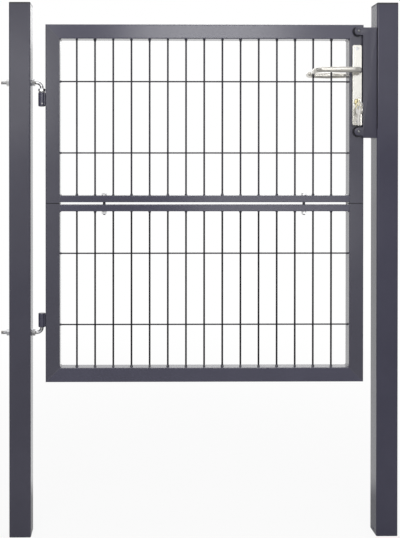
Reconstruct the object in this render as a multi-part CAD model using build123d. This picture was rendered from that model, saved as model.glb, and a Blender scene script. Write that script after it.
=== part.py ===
from build123d import *
import os
from math import cos, floor, radians, sin

# Steel garden gate between two square posts, in millimetres.
# Origin: midway between the posts, on the gate's middle plane, at the level of the post feet.
# +X runs from the hinge post to the latch post, +Y away from the viewer, +Z up.

# Posts
POST_SIZE = 60.0
POST_WALL = 2.0
POST_INNER_CORNER = 2.0
POST_ABOVE_LEAF = 55.0
DRAIN_HOLE = 6.0
DRAIN_HOLE_Z = 9.5
CAP_THICKNESS = 5.0
CAP_EDGE = 1.8
CAP_PLUG_DEPTH = 22.0
CAP_PLUG_WALL = 2.5
CAP_PLUG_FIT = 0.2

# Leaf: two welded half frames that stand one on the other
LEAF_WIDTH = 890.0
LEAF_HEIGHT = 1000.0
LEAF_BOTTOM = 430.0
HINGE_GAP = 40.5
LOCK_GAP = 34.5
FRAME_TUBE = 40.0
FRAME_WALL = 1.5
FRAME_INNER_CORNER = 1.0
MID_RAIL_HEIGHT = 19.0
MID_RAIL_GAP = 6.5
MID_RAIL_CORNER = 2.0
PLUG_LENGTH = 80.0
PLUG_WALL = 2.0
PLUG_FIT = 0.2

# Wire infill, welded to the half frames
VERTICAL_WIRE = 5.0
VERTICAL_WIRE_PITCH = 51.2
HORIZONTAL_WIRE = 4.0
HORIZONTAL_WIRE_PITCH = 201.0
HORIZONTAL_WIRE_INSET = 117.5
WIRE_TOUCH = 0.05

# Bolts that couple the two half frames
COUPLING_BAY = 1.5
COUPLING_BOLT = 8.0
COUPLING_HOLE_ROOM = 0.5
COUPLING_HEAD_FLATS = 13.0
COUPLING_HEAD_HEIGHT = 5.3
COUPLING_NUT_HEIGHT = 6.5
COUPLING_WASHER = 16.0
COUPLING_WASHER_THICKNESS = 1.6
COUPLING_END = 3.0

# Adjustable hinges
HOOK_ROD = 10.0
HOOK_BEND = 14.0
HOOK_TAIL = 26.6
HOOK_HOLE_ROOM = 0.6
HOOK_NUT_FLATS = 17.0
HOOK_NUT_HEIGHT = 8.4
HOOK_WASHER = 20.0
HOOK_WASHER_THICKNESS = 2.0
THREAD_FIT = 0.05
UPPER_HOOK_BELOW_LEAF_TOP = 161.5
LOWER_HOOK_ABOVE_LEAF_BOTTOM = 136.0
PIN_OFFSET = 12.0
BARREL_DIAMETER = 20.0
BARREL_LENGTH = 40.0
BARREL_EDGE = 2.5
BARREL_SADDLE = 14.0
UPPER_BARREL_BELOW_HOOK = 26.5
LOWER_BARREL_ABOVE_BEND = 1.2
BARREL_END_WALL = 3.0
BUSH_WALL = 2.0
BUSH_FIT = 0.02
BUSH_FLANGE = 17.0
BUSH_FLANGE_THICKNESS = 1.5
BUSH_END = 2.0
PIN_CLEARANCE = 0.05
PIN_END_ROOM = 0.1
PIN_SHORT = 5.0
PIN_NUT_ROOM = 0.4

# Strike on the latch post, with two stop tabs in front of the leaf
STRIKE_SHEET = 3.0
STRIKE_BELOW_LEAF_TOP = 9.5
STRIKE_LEAF_OVERLAP = 5.0
STRIKE_LEG_DEPTH = 50.0
STRIKE_BEND = 3.0
TAB_RADIUS = 11.5
TAB_OVERLAP = 16.6
UPPER_TAB_DROP = 9.5
LOWER_TAB_RISE = 18.0
BUFFER_PLATE_ROOM = 2.3
BUFFER_DIAMETER = 29.0
BUFFER_CLEARANCE = 0.25
BUFFER_SCREW = 4.0
BUFFER_SCREW_HEAD = 7.0
BUFFER_SCREW_HEAD_HEIGHT = 2.4
BUFFER_SCREW_COVER = 2.25
CHANNEL_SHEET = 2.0
CHANNEL_WIDTH = 32.0
CHANNEL_CLEARANCE = 2.0
CHANNEL_END_MARGIN = 14.0
SLOT_ROOM = 1.5
STRIKE_SCREW = 6.0
STRIKE_SCREW_HEAD = 10.5
STRIKE_SCREW_HEAD_HEIGHT = 3.3
STRIKE_SCREW_INSET = 24.0
STRIKE_SCREW_LENGTH = 16.0
RIVET_NUT = 9.0
RIVET_NUT_BULGE = 12.5
RIVET_NUT_BODY = 11.0
SCREW_HOLE_ROOM = 0.4

# Lock in the upper lock stile
SPINDLE_BELOW_LEAF_TOP = 132.0
LOCK_CENTRES = 85.0
CASE_THICKNESS = 15.0
CASE_WALL = 1.5
CASE_BACK_ROOM = 2.0
CASE_END_ROOM = 6.5
CASE_WINDOW_ROOM = 0.5
FACEPLATE_WIDTH = 22.0
FACEPLATE_THICKNESS = 3.0
FACEPLATE_MARGIN = 18.0
FACEPLATE_SCREW = 4.0
FACEPLATE_SCREW_HEAD = 7.5
FACEPLATE_SCREW_LENGTH = 9.0
FACEPLATE_SCREW_INSET = 8.0
SLIDE_FIT = 0.06
BOLT_THICKNESS = 10.0
LATCH_HEIGHT = 20.0
LATCH_RISE = 28.5
LATCH_REACH = 11.5
LATCH_SHANK = 15.0
LATCH_TIP = 2.0
LATCH_LUG_LENGTH = 17.5
LATCH_LUG_BACK = 22.5
LATCH_LUG_DROP = 4.0
SPRING_DIAMETER = 7.0
SPRING_WIRE = 1.0
SPRING_SEAT_ROOM = 0.1
DEAD_BOLT_HEIGHT = 22.0
DEAD_BOLT_RISE = 26.5
DEAD_BOLT_LENGTH = 34.0
DEAD_BOLT_SHY = 0.3

# Handle: two levers on a square spindle that turns the follower
FOLLOWER_HUB = 20.0
FOLLOWER_JOURNAL = 14.0
FOLLOWER_SIDE_ROOM = 0.2
FOLLOWER_ARM_REACH = 16.8
FOLLOWER_ARM_WIDTH = 6.0
FOLLOWER_ARM_LEAN = 20.0
FOLLOWER_NOTCH_ROOM = 1.3
SPINDLE = 8.0
SPINDLE_FIT = 0.05
SPINDLE_END_ROOM = 1.0
LEVER_JOURNAL = 18.0
LEVER_COLLAR = 21.0
LEVER_COLLAR_THICKNESS = 4.5
LEVER_PLATE_ROOM = 0.3
LEVER_STAND_OFF = 44.0
LEVER_LENGTH = 128.0
LEVER_BAR_HEIGHT = 17.0
LEVER_BAR_DEPTH = 13.0
LEVER_NECK_BEND = 20.0
LEVER_RETURN_BEND = 16.0
LEVER_RETURN = 48.0
LEVER_END_ROUND = 4.0
LEVER_SOCKET_DEPTH = 22.0
GRUB_SCREW = 5.0
GRUB_SCREW_OUT = 8.0

# Backplates on both faces of the lock stile
PLATE_WIDTH = 27.0
PLATE_LENGTH = 225.0
PLATE_THICKNESS = 8.0
PLATE_CORNER = 5.0
PLATE_EDGE = 2.0
PLATE_ABOVE_SPINDLE = 74.5
PLATE_SCREW_INSET = 11.0
PLATE_SCREW = 5.0
PLATE_SCREW_HEAD = 9.0
PLATE_SCREW_HEAD_HEIGHT = 2.5
SLEEVE_NUT = 7.0
SLEEVE_NUT_LENGTH = 20.0

# Profile cylinder with its key and a ring of spare keys
CYLINDER_ROUND = 17.0
CYLINDER_LEG = 10.0
CYLINDER_DROP = 24.5
CYLINDER_PROUD = 2.5
CYLINDER_CUT_ROOM = 0.4
CYLINDER_PLUG = 13.0
PLUG_TURN_FIT = 0.05
PLUG_TAIL = 8.0
CAM_WIDTH = 9.8
CAM_RING = 15.6
CAM_REACH = 13.5
CAM_NOSE = 8.0
CAM_SIDE_ROOM = 0.2
CYLINDER_SCREW = 5.0
CYLINDER_SCREW_DROP = 18.5
CYLINDER_SCREW_HEAD = 8.0
CYLINDER_SCREW_HEAD_HEIGHT = 2.0
KEY_THICKNESS = 2.2
KEY_BLADE_HEIGHT = 8.0
KEY_BLADE_LENGTH = 24.0
KEY_SHANK = 4.0
KEY_BOW = 24.0
KEY_HOLE = 7.0
KEY_HOLE_FROM_EDGE = 6.0
KEY_SLOT_ROOM = 0.1
RING_DIAMETER = 18.0
RING_WIRE = 1.8
RING_REST = 0.12
SPARE_KEY_LENGTH = 54.0
SPARE_KEY_SPREAD = 26.0
LEFT_KEY_TURN = 17.0
RIGHT_KEY_TURN = -4.0
SPARE_KEY_REST = 0.95

# Places worked out from the sizes above
CLEAR_WIDTH = HINGE_GAP + LEAF_WIDTH + LOCK_GAP
LEAF_TOP = LEAF_BOTTOM + LEAF_HEIGHT
LEAF_JOINT = LEAF_BOTTOM + LEAF_HEIGHT / 2
LEAF_LEFT = -CLEAR_WIDTH / 2 + HINGE_GAP
LEAF_RIGHT = LEAF_LEFT + LEAF_WIDTH
LEAF_CENTRE = (LEAF_LEFT + LEAF_RIGHT) / 2
LEAF_FACE = FRAME_TUBE / 2
OPENING_LEFT = LEAF_LEFT + FRAME_TUBE
OPENING_RIGHT = LEAF_RIGHT - FRAME_TUBE
POST_INNER = CLEAR_WIDTH / 2
POST_CENTRE = POST_INNER + POST_SIZE / 2
POST_OUTER = POST_INNER + POST_SIZE
POST_TUBE_TOP = LEAF_TOP + POST_ABOVE_LEAF
POST_CORNER = POST_INNER_CORNER + POST_WALL
UPPER_RAIL_FOOT = LEAF_JOINT + MID_RAIL_GAP / 2
LOWER_RAIL_HEAD = LEAF_JOINT - MID_RAIL_GAP / 2
PIN_X = LEAF_LEFT - PIN_OFFSET
UPPER_HOOK_Z = LEAF_TOP - UPPER_HOOK_BELOW_LEAF_TOP
LOWER_HOOK_Z = LEAF_BOTTOM + LOWER_HOOK_ABOVE_LEAF_BOTTOM
UPPER_BARREL_TOP = UPPER_HOOK_Z - UPPER_BARREL_BELOW_HOOK
UPPER_BARREL_FOOT = UPPER_BARREL_TOP - BARREL_LENGTH
LOWER_BARREL_FOOT = LOWER_HOOK_Z + HOOK_BEND + LOWER_BARREL_ABOVE_BEND
LOWER_BARREL_TOP = LOWER_BARREL_FOOT + BARREL_LENGTH
BARREL_BORE = HOOK_ROD + 2 * (PIN_CLEARANCE + BUSH_WALL + BUSH_FIT)
SPINDLE_Z = LEAF_TOP - SPINDLE_BELOW_LEAF_TOP
CYLINDER_Z = SPINDLE_Z - LOCK_CENTRES
PLATE_TOP = SPINDLE_Z + PLATE_ABOVE_SPINDLE
PLATE_FOOT = PLATE_TOP - PLATE_LENGTH
PLATE_FRONT = -LEAF_FACE - PLATE_THICKNESS
PLATE_SCREW_HEIGHTS = (PLATE_TOP - PLATE_SCREW_INSET, PLATE_FOOT + PLATE_SCREW_INSET)
LOWER_TAB_Z = PLATE_FOOT - BUFFER_PLATE_ROOM - BUFFER_DIAMETER / 2
STRIKE_TOP = LEAF_TOP - STRIKE_BELOW_LEAF_TOP
STRIKE_FOOT = LOWER_TAB_Z - LOWER_TAB_RISE
STRIKE_FRONT = -POST_SIZE / 2
STRIKE_BACK = STRIKE_FRONT + STRIKE_SHEET
STRIKE_LEFT = LEAF_RIGHT - STRIKE_LEAF_OVERLAP
TAB_X = LEAF_RIGHT - TAB_OVERLAP
BUFFER_BACK = -LEAF_FACE - BUFFER_CLEARANCE
BUFFER_SCREW_END = BUFFER_BACK - BUFFER_SCREW_COVER
TAB_HEIGHTS = (STRIKE_TOP - UPPER_TAB_DROP, LOWER_TAB_Z)
STRIKE_SCREW_HEIGHTS = (STRIKE_TOP - STRIKE_SCREW_INSET, STRIKE_FOOT + STRIKE_SCREW_INSET)
LOCK_X = LEAF_RIGHT - FRAME_TUBE / 2
CASE_LEFT = OPENING_RIGHT + FRAME_WALL + CASE_BACK_ROOM
CASE_TOP = PLATE_SCREW_HEIGHTS[0] - CASE_END_ROOM
CASE_FOOT = PLATE_SCREW_HEIGHTS[1] + CASE_END_ROOM
FACEPLATE_RIGHT = LEAF_RIGHT + FACEPLATE_THICKNESS
LATCH_Z = SPINDLE_Z + LATCH_RISE
DEAD_BOLT_Z = CYLINDER_Z + DEAD_BOLT_RISE
CHANNEL_LEFT = FACEPLATE_RIGHT + CHANNEL_CLEARANCE
CYLINDER_FRONT = PLATE_FRONT - CYLINDER_PROUD
LEVER_Y = PLATE_FRONT - LEVER_STAND_OFF
KEY_BOW_Y = CYLINDER_FRONT - KEY_SHANK - KEY_BOW / 2
KEY_HOLE_Y = KEY_BOW_Y - KEY_BOW / 2 + KEY_HOLE_FROM_EDGE
RING_RADIUS = (RING_DIAMETER - RING_WIRE) / 2
RING_HANG_Z = CYLINDER_Z - (KEY_HOLE - RING_WIRE) / 2 + RING_REST
RING_Z = RING_HANG_Z - RING_RADIUS

FOOT = (Align.CENTER, Align.CENTER, Align.MIN)
ALONG_X = Rot(0, 90, 0)
UPRIGHT = Rot(0, 0, 0)
OVERCUT = 1.0


def block(x_range, y_range, z_range):
    """Rectangular block between the given lowest and highest X, Y and Z."""
    ranges = (x_range, y_range, z_range)
    centre = [(low + high) / 2 for low, high in ranges]
    size = [high - low for low, high in ranges]
    return Pos(*centre) * Box(*size)


def rod(start, direction, length, diameter):
    """Round rod from a start point, upright or along X."""
    return Pos(*start) * direction * Cylinder(diameter / 2, length, align=FOOT)


def hexagon(start, direction, height, flats):
    """Hexagonal prism with two flats square to Y where it stands upright."""
    outline = RegularPolygon(flats / 2, 6, major_radius=False, rotation=30)
    return Pos(*start) * direction * extrude(outline, height)


def square_tube(width, depth, wall, inner_corner, length):
    """Upright hollow tube standing on the XY plane."""
    outside = RectangleRounded(width, depth, inner_corner + wall)
    inside = RectangleRounded(width - 2 * wall, depth - 2 * wall, inner_corner)
    return extrude(outside - inside, length)


def front_prism(sketch, x, z, y_range):
    """A sketch drawn as seen from the front, set at x and z, and filled between two depths."""
    low, high = y_range
    plane = Plane(origin=(x, high, z), x_dir=(1, 0, 0), z_dir=(0, -1, 0))
    return extrude(plane * sketch, high - low, dir=(0, -1, 0))


def profile_outline(room=0.0):
    """Outline of a profile cylinder: a round with a narrow leg below it."""
    leg_width = CYLINDER_LEG + 2 * room
    leg_end = CYLINDER_LEG / 2 - CYLINDER_DROP
    leg = Pos(0, leg_end / 2) * Rectangle(leg_width, -leg_end)
    return Circle(CYLINDER_ROUND / 2 + room) + leg + Pos(0, leg_end) * Circle(leg_width / 2)


# Posts and their caps

def post(side):
    """Square tube with a drain hole near the foot of its inner face."""
    tube = square_tube(POST_SIZE, POST_SIZE, POST_WALL, POST_INNER_CORNER, POST_TUBE_TOP)
    wall_middle = side * (POST_INNER + POST_WALL / 2)
    reach = POST_WALL / 2 + OVERCUT
    drain = rod((wall_middle - reach, 0, DRAIN_HOLE_Z), ALONG_X, 2 * reach, DRAIN_HOLE)
    return Pos(side * POST_CENTRE, 0, 0) * tube - drain


def hinge_post():
    body = post(-1)
    for height in (UPPER_HOOK_Z, LOWER_HOOK_Z):
        start = (-POST_OUTER - OVERCUT, 0, height)
        body -= rod(start, ALONG_X, POST_SIZE + 2 * OVERCUT, HOOK_ROD + HOOK_HOLE_ROOM)
    return body


def latch_post():
    body = post(1)
    for height in STRIKE_SCREW_HEIGHTS:
        start = (POST_INNER - OVERCUT, 0, height)
        body -= rod(start, ALONG_X, POST_WALL + 2 * OVERCUT, RIVET_NUT + SCREW_HOLE_ROOM)
    return body


def post_cap(side):
    lid = extrude(RectangleRounded(POST_SIZE, POST_SIZE, POST_CORNER), CAP_THICKNESS)
    lid = fillet(lid.faces().sort_by(Axis.Z)[-1].edges(), CAP_EDGE)
    plug_size = POST_SIZE - 2 * (POST_WALL + CAP_PLUG_FIT)
    plug = square_tube(plug_size, plug_size, CAP_PLUG_WALL, POST_INNER_CORNER, CAP_PLUG_DEPTH)
    cap = lid + Pos(0, 0, -CAP_PLUG_DEPTH) * plug
    return Pos(side * POST_CENTRE, 0, POST_TUBE_TOP) * cap


# Frame tubes of the two halves

def mitre_cutter(corner_x, corner_z, inward_x, inward_z, keeps_rail):
    """Wedge that cuts a corner at 45 degrees, for the rail or for the stile."""
    reach = 1.5 * FRAME_TUBE
    inner = (corner_x + inward_x * reach, corner_z + inward_z * reach)
    beside = (corner_x, inner[1]) if keeps_rail else (inner[0], corner_z)
    outline = Polygon((corner_x, corner_z), beside, inner, align=None)
    return front_prism(outline, 0, 0, (-FRAME_TUBE, FRAME_TUBE))


def stile(side, half):
    """Upright of one half frame: side -1 hinge, 1 lock; half 1 upper, -1 lower."""
    centre = LEAF_CENTRE + side * (LEAF_WIDTH - FRAME_TUBE) / 2
    foot = LEAF_JOINT if half > 0 else LEAF_BOTTOM
    tube = square_tube(FRAME_TUBE, FRAME_TUBE, FRAME_WALL, FRAME_INNER_CORNER, LEAF_HEIGHT / 2)
    corner_x = LEAF_RIGHT if side > 0 else LEAF_LEFT
    corner_z = LEAF_TOP if half > 0 else LEAF_BOTTOM
    return Pos(centre, 0, foot) * tube - mitre_cutter(corner_x, corner_z, -side, -half, False)


def outer_rail(half):
    centre_z = LEAF_TOP - FRAME_TUBE / 2 if half > 0 else LEAF_BOTTOM + FRAME_TUBE / 2
    corner_z = LEAF_TOP if half > 0 else LEAF_BOTTOM
    tube = square_tube(FRAME_TUBE, FRAME_TUBE, FRAME_WALL, FRAME_INNER_CORNER, LEAF_WIDTH)
    rail = Pos(LEAF_LEFT, 0, centre_z) * ALONG_X * tube
    rail -= mitre_cutter(LEAF_LEFT, corner_z, 1, -half, True)
    return rail - mitre_cutter(LEAF_RIGHT, corner_z, -1, -half, True)


def vertical_wire_places():
    count = floor((OPENING_RIGHT - OPENING_LEFT) / VERTICAL_WIRE_PITCH)
    first = LEAF_CENTRE - (count - 1) / 2 * VERTICAL_WIRE_PITCH
    return [first + i * VERTICAL_WIRE_PITCH for i in range(count)]


def coupling_places():
    """Places along X of the coupling bolts, each midway between two upright wires."""
    wires = vertical_wire_places()
    inset = COUPLING_BAY * VERTICAL_WIRE_PITCH
    return (wires[0] + inset, wires[-1] - inset)


def mid_rail(half):
    length = OPENING_RIGHT - OPENING_LEFT
    inner_corner = MID_RAIL_CORNER - FRAME_WALL
    tube = square_tube(MID_RAIL_HEIGHT, FRAME_TUBE, FRAME_WALL, inner_corner, length)
    foot = UPPER_RAIL_FOOT if half > 0 else LOWER_RAIL_HEAD - MID_RAIL_HEIGHT
    rail = Pos(OPENING_LEFT, 0, foot + MID_RAIL_HEIGHT / 2) * ALONG_X * tube
    for x in coupling_places():
        start = (x, 0, foot - OVERCUT)
        rail -= rod(start, UPRIGHT, MID_RAIL_HEIGHT + 2 * OVERCUT, COUPLING_BOLT + COUPLING_HOLE_ROOM)
    return rail


def joint_plugs():
    """Square sleeves inside the stiles that line up the two halves."""
    size = FRAME_TUBE - 2 * (FRAME_WALL + PLUG_FIT)
    sleeve = square_tube(size, size, PLUG_WALL, FRAME_INNER_CORNER, PLUG_LENGTH)
    foot = LEAF_JOINT - PLUG_LENGTH / 2
    offset = (LEAF_WIDTH - FRAME_TUBE) / 2
    return [Pos(LEAF_CENTRE + side * offset, 0, foot) * sleeve for side in (-1, 1)]


# Wire infill

def half_opening(half):
    """Lowest and highest Z of the opening of one half frame."""
    if half > 0:
        return UPPER_RAIL_FOOT + MID_RAIL_HEIGHT, LEAF_TOP - FRAME_TUBE
    return LEAF_BOTTOM + FRAME_TUBE, LOWER_RAIL_HEAD - MID_RAIL_HEIGHT


def vertical_wires(half):
    low, high = half_opening(half)
    depth = -(HORIZONTAL_WIRE + WIRE_TOUCH) / 2
    starts = [(x, depth, low) for x in vertical_wire_places()]
    return [rod(start, UPRIGHT, high - low, VERTICAL_WIRE) for start in starts]


def horizontal_wires(half):
    low, high = half_opening(half)
    room = high - low - HORIZONTAL_WIRE_INSET
    count = floor(room / HORIZONTAL_WIRE_PITCH) + 1
    rail_face = high if half > 0 else low
    depth = (VERTICAL_WIRE + WIRE_TOUCH) / 2
    length = OPENING_RIGHT - OPENING_LEFT
    insets = [HORIZONTAL_WIRE_INSET + i * HORIZONTAL_WIRE_PITCH for i in range(count)]
    starts = [(OPENING_LEFT, depth, rail_face - half * inset) for inset in insets]
    return [rod(start, ALONG_X, length, HORIZONTAL_WIRE) for start in starts]


# Coupling bolts, washers and nuts

UPPER_WASHER_Z = UPPER_RAIL_FOOT + MID_RAIL_HEIGHT
LOWER_WASHER_Z = LOWER_RAIL_HEAD - MID_RAIL_HEIGHT - COUPLING_WASHER_THICKNESS
COUPLING_HEAD_Z = UPPER_WASHER_Z + COUPLING_WASHER_THICKNESS
COUPLING_NUT_Z = LOWER_WASHER_Z - COUPLING_NUT_HEIGHT


def coupling_bolt(x):
    head = hexagon((x, 0, COUPLING_HEAD_Z), UPRIGHT, COUPLING_HEAD_HEIGHT, COUPLING_HEAD_FLATS)
    end = COUPLING_NUT_Z - COUPLING_END
    return head + rod((x, 0, end), UPRIGHT, COUPLING_HEAD_Z - end, COUPLING_BOLT)


def coupling_nut(x):
    body = hexagon((x, 0, COUPLING_NUT_Z), UPRIGHT, COUPLING_NUT_HEIGHT, COUPLING_HEAD_FLATS)
    start = (x, 0, COUPLING_NUT_Z - OVERCUT)
    return body - rod(start, UPRIGHT, COUPLING_NUT_HEIGHT + 2 * OVERCUT, COUPLING_BOLT + 2 * THREAD_FIT)


def coupling_washer(x, z):
    disc = rod((x, 0, z), UPRIGHT, COUPLING_WASHER_THICKNESS, COUPLING_WASHER)
    start = (x, 0, z - OVERCUT)
    hole_length = COUPLING_WASHER_THICKNESS + 2 * OVERCUT
    return disc - rod(start, UPRIGHT, hole_length, COUPLING_BOLT + COUPLING_HOLE_ROOM)


# Hinges: bent threaded rods through the hinge post, barrels on the hinge stile

def hinge_hook(rod_z, way, pin_end):
    """Threaded rod through the post, bent up (way 1) or down (way -1) into a pin."""
    tail = Vector(-POST_OUTER - HOOK_TAIL, 0, rod_z)
    bend_start = Vector(PIN_X - HOOK_BEND, 0, rod_z)
    bend_end = Vector(PIN_X, 0, rod_z + way * HOOK_BEND)
    path = Line(tail, bend_start)
    path += TangentArc(bend_start, bend_end, tangent=(1, 0, 0))
    path += Line(bend_end, Vector(PIN_X, 0, pin_end))
    section = Plane(origin=tail, z_dir=(1, 0, 0)) * Circle(HOOK_ROD / 2)
    return sweep(section, path=path)


UPPER_PIN_END = UPPER_BARREL_FOOT + PIN_SHORT
LOWER_PIN_END = LOWER_BARREL_TOP - BARREL_END_WALL - BUSH_END - PIN_END_ROOM


def hinge_washer_places():
    """Left face of each washer along X, on both sides of the hinge post."""
    return (-POST_OUTER - HOOK_WASHER_THICKNESS, -POST_INNER)


def hinge_nut_places():
    """Left face of each nut along X, outside both washers."""
    outside = -POST_OUTER - HOOK_WASHER_THICKNESS - HOOK_NUT_HEIGHT
    return (outside, -POST_INNER + HOOK_WASHER_THICKNESS)


def hinge_nut(x, z):
    body = hexagon((x, 0, z), ALONG_X, HOOK_NUT_HEIGHT, HOOK_NUT_FLATS)
    start = (x - OVERCUT, 0, z)
    return body - rod(start, ALONG_X, HOOK_NUT_HEIGHT + 2 * OVERCUT, HOOK_ROD + 2 * THREAD_FIT)


def hinge_washer(x, z):
    disc = rod((x, 0, z), ALONG_X, HOOK_WASHER_THICKNESS, HOOK_WASHER)
    start = (x - OVERCUT, 0, z)
    hole_length = HOOK_WASHER_THICKNESS + 2 * OVERCUT
    return disc - rod(start, ALONG_X, hole_length, HOOK_ROD + HOOK_HOLE_ROOM)


def upper_pin_nut():
    """Nut on the upper pin, just above the barrel, which keeps the leaf from being lifted off."""
    foot = UPPER_BARREL_TOP + BUSH_FLANGE_THICKNESS + PIN_NUT_ROOM
    body = hexagon((PIN_X, 0, foot), UPRIGHT, HOOK_NUT_HEIGHT, HOOK_NUT_FLATS)
    start = (PIN_X, 0, foot - OVERCUT)
    return body - rod(start, UPRIGHT, HOOK_NUT_HEIGHT + 2 * OVERCUT, HOOK_ROD + 2 * THREAD_FIT)


def barrel(foot, bore_foot, bore_length):
    """Round barrel with eased ends and a saddle that is welded to the hinge stile."""
    body = rod((PIN_X, 0, foot), UPRIGHT, BARREL_LENGTH, BARREL_DIAMETER)
    body = fillet(body.edges().filter_by(GeomType.CIRCLE), BARREL_EDGE)
    half_saddle = BARREL_SADDLE / 2
    heights = (foot + BARREL_EDGE, foot + BARREL_LENGTH - BARREL_EDGE)
    body += block((PIN_X, LEAF_LEFT), (-half_saddle, half_saddle), heights)
    return body - rod((PIN_X, 0, bore_foot), UPRIGHT, bore_length, BARREL_BORE)


def upper_barrel():
    start = UPPER_BARREL_FOOT - OVERCUT
    return barrel(UPPER_BARREL_FOOT, start, BARREL_LENGTH + 2 * OVERCUT)


def lower_barrel():
    start = LOWER_BARREL_FOOT - OVERCUT
    return barrel(LOWER_BARREL_FOOT, start, BARREL_LENGTH - BARREL_END_WALL + OVERCUT)


BUSH_BORE = HOOK_ROD + 2 * PIN_CLEARANCE
BUSH_DIAMETER = BUSH_BORE + 2 * BUSH_WALL


def upper_bush():
    sleeve = rod((PIN_X, 0, UPPER_BARREL_FOOT), UPRIGHT, BARREL_LENGTH, BUSH_DIAMETER)
    sleeve += rod((PIN_X, 0, UPPER_BARREL_TOP), UPRIGHT, BUSH_FLANGE_THICKNESS, BUSH_FLANGE)
    start = (PIN_X, 0, UPPER_BARREL_FOOT - OVERCUT)
    return sleeve - rod(start, UPRIGHT, BARREL_LENGTH + BUSH_FLANGE_THICKNESS + 2 * OVERCUT, BUSH_BORE)


def lower_bush():
    """Cup that carries the weight of the leaf on the end of the lower pin."""
    length = BARREL_LENGTH - BARREL_END_WALL
    cup = rod((PIN_X, 0, LOWER_BARREL_FOOT), UPRIGHT, length, BUSH_DIAMETER)
    start = (PIN_X, 0, LOWER_BARREL_FOOT - OVERCUT)
    return cup - rod(start, UPRIGHT, length - BUSH_END + OVERCUT, BUSH_BORE)


# Strike: a folded sheet with two stop tabs, a slotted channel, screws and buffers

def strike_plate():
    front = block((STRIKE_LEFT, POST_INNER), (STRIKE_FRONT, STRIKE_BACK), (STRIKE_FOOT, STRIKE_TOP))
    leg_end = STRIKE_FRONT + STRIKE_LEG_DEPTH
    leg_left = POST_INNER - STRIKE_SHEET
    leg = block((leg_left, POST_INNER), (STRIKE_FRONT, leg_end), (STRIKE_FOOT, STRIKE_TOP))
    sheet = front + leg
    fold = sheet.edges().filter_by(Axis.Z).group_by(Axis.X)[-1].sort_by(Axis.Y)[0]
    sheet = fillet(fold, STRIKE_BEND)
    for height in TAB_HEIGHTS:
        depths = (STRIKE_FRONT, STRIKE_BACK)
        reach = STRIKE_LEFT - TAB_X + STRIKE_SHEET
        arm = Pos(reach / 2, 0) * Rectangle(reach, 2 * TAB_RADIUS)
        sheet += front_prism(Circle(TAB_RADIUS) + arm, TAB_X, height, depths)
        hole = Circle((BUFFER_SCREW + SCREW_HOLE_ROOM) / 2)
        sheet -= front_prism(hole, TAB_X, height, (STRIKE_FRONT - OVERCUT, STRIKE_BACK + OVERCUT))
    above = block((TAB_X - TAB_RADIUS - OVERCUT, POST_INNER), (STRIKE_FRONT - OVERCUT, leg_end),
                  (STRIKE_TOP, STRIKE_TOP + TAB_RADIUS))
    sheet -= above
    for height in STRIKE_SCREW_HEIGHTS:
        start = (leg_left - OVERCUT, 0, height)
        sheet -= rod(start, ALONG_X, STRIKE_SHEET + 2 * OVERCUT, STRIKE_SCREW + SCREW_HOLE_ROOM)
    return sheet


def strike_channel():
    """Channel welded to the strike's leg, with slots for the latch and the dead bolt."""
    heights = (DEAD_BOLT_Z - DEAD_BOLT_HEIGHT / 2 - CHANNEL_END_MARGIN,
               LATCH_Z + LATCH_HEIGHT / 2 + CHANNEL_END_MARGIN)
    half = CHANNEL_WIDTH / 2
    leg_left = POST_INNER - STRIKE_SHEET
    body = block((CHANNEL_LEFT, leg_left), (-half, half), heights)
    inner = half - CHANNEL_SHEET
    inside = (CHANNEL_LEFT + CHANNEL_SHEET, leg_left + OVERCUT)
    body -= block(inside, (-inner, inner), (heights[0] - OVERCUT, heights[1] + OVERCUT))
    slot_half = BOLT_THICKNESS / 2 + SLOT_ROOM
    web = (CHANNEL_LEFT - OVERCUT, CHANNEL_LEFT + CHANNEL_SHEET + OVERCUT)
    for middle, height in ((LATCH_Z, LATCH_HEIGHT), (DEAD_BOLT_Z, DEAD_BOLT_HEIGHT)):
        reach = height / 2 + SLOT_ROOM
        body -= block(web, (-slot_half, slot_half), (middle - reach, middle + reach))
    return body


def strike_screw(z):
    """Button head screw through the strike's leg into a rivet nut."""
    leg_left = POST_INNER - STRIKE_SHEET
    start = (leg_left - STRIKE_SCREW_HEAD_HEIGHT, 0, z)
    head = rod(start, ALONG_X, STRIKE_SCREW_HEAD_HEIGHT, STRIKE_SCREW_HEAD)
    return head + rod((leg_left, 0, z), ALONG_X, STRIKE_SCREW_LENGTH, STRIKE_SCREW)


def strike_rivet_nut(z):
    body = rod((POST_INNER, 0, z), ALONG_X, RIVET_NUT_BODY, RIVET_NUT)
    bulge_length = RIVET_NUT_BODY / 2 - POST_WALL
    body += rod((POST_INNER + POST_WALL, 0, z), ALONG_X, bulge_length, RIVET_NUT_BULGE)
    start = (POST_INNER - OVERCUT, 0, z)
    return body - rod(start, ALONG_X, RIVET_NUT_BODY + 2 * OVERCUT, STRIKE_SCREW + 2 * THREAD_FIT)


def stop_buffer(z):
    """Rubber disc, wider than the stop tab before it and cut level with the strike's top edge."""
    radius = BUFFER_DIAMETER / 2
    disc = front_prism(Circle(radius), TAB_X, z, (STRIKE_BACK, BUFFER_BACK))
    above = (STRIKE_TOP, STRIKE_TOP + radius)
    disc -= block((TAB_X - radius, TAB_X + radius), (STRIKE_BACK, BUFFER_BACK), above)
    hole = Circle(BUFFER_SCREW / 2 + THREAD_FIT)
    return disc - front_prism(hole, TAB_X, z, (STRIKE_BACK - OVERCUT, BUFFER_SCREW_END))


def stop_buffer_screw(z):
    head_depths = (STRIKE_FRONT - BUFFER_SCREW_HEAD_HEIGHT, STRIKE_FRONT)
    head = front_prism(Circle(BUFFER_SCREW_HEAD / 2), TAB_X, z, head_depths)
    return head + front_prism(Circle(BUFFER_SCREW / 2), TAB_X, z, (STRIKE_FRONT, BUFFER_SCREW_END))


# Upper lock stile with its cut-outs for the lock

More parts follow.
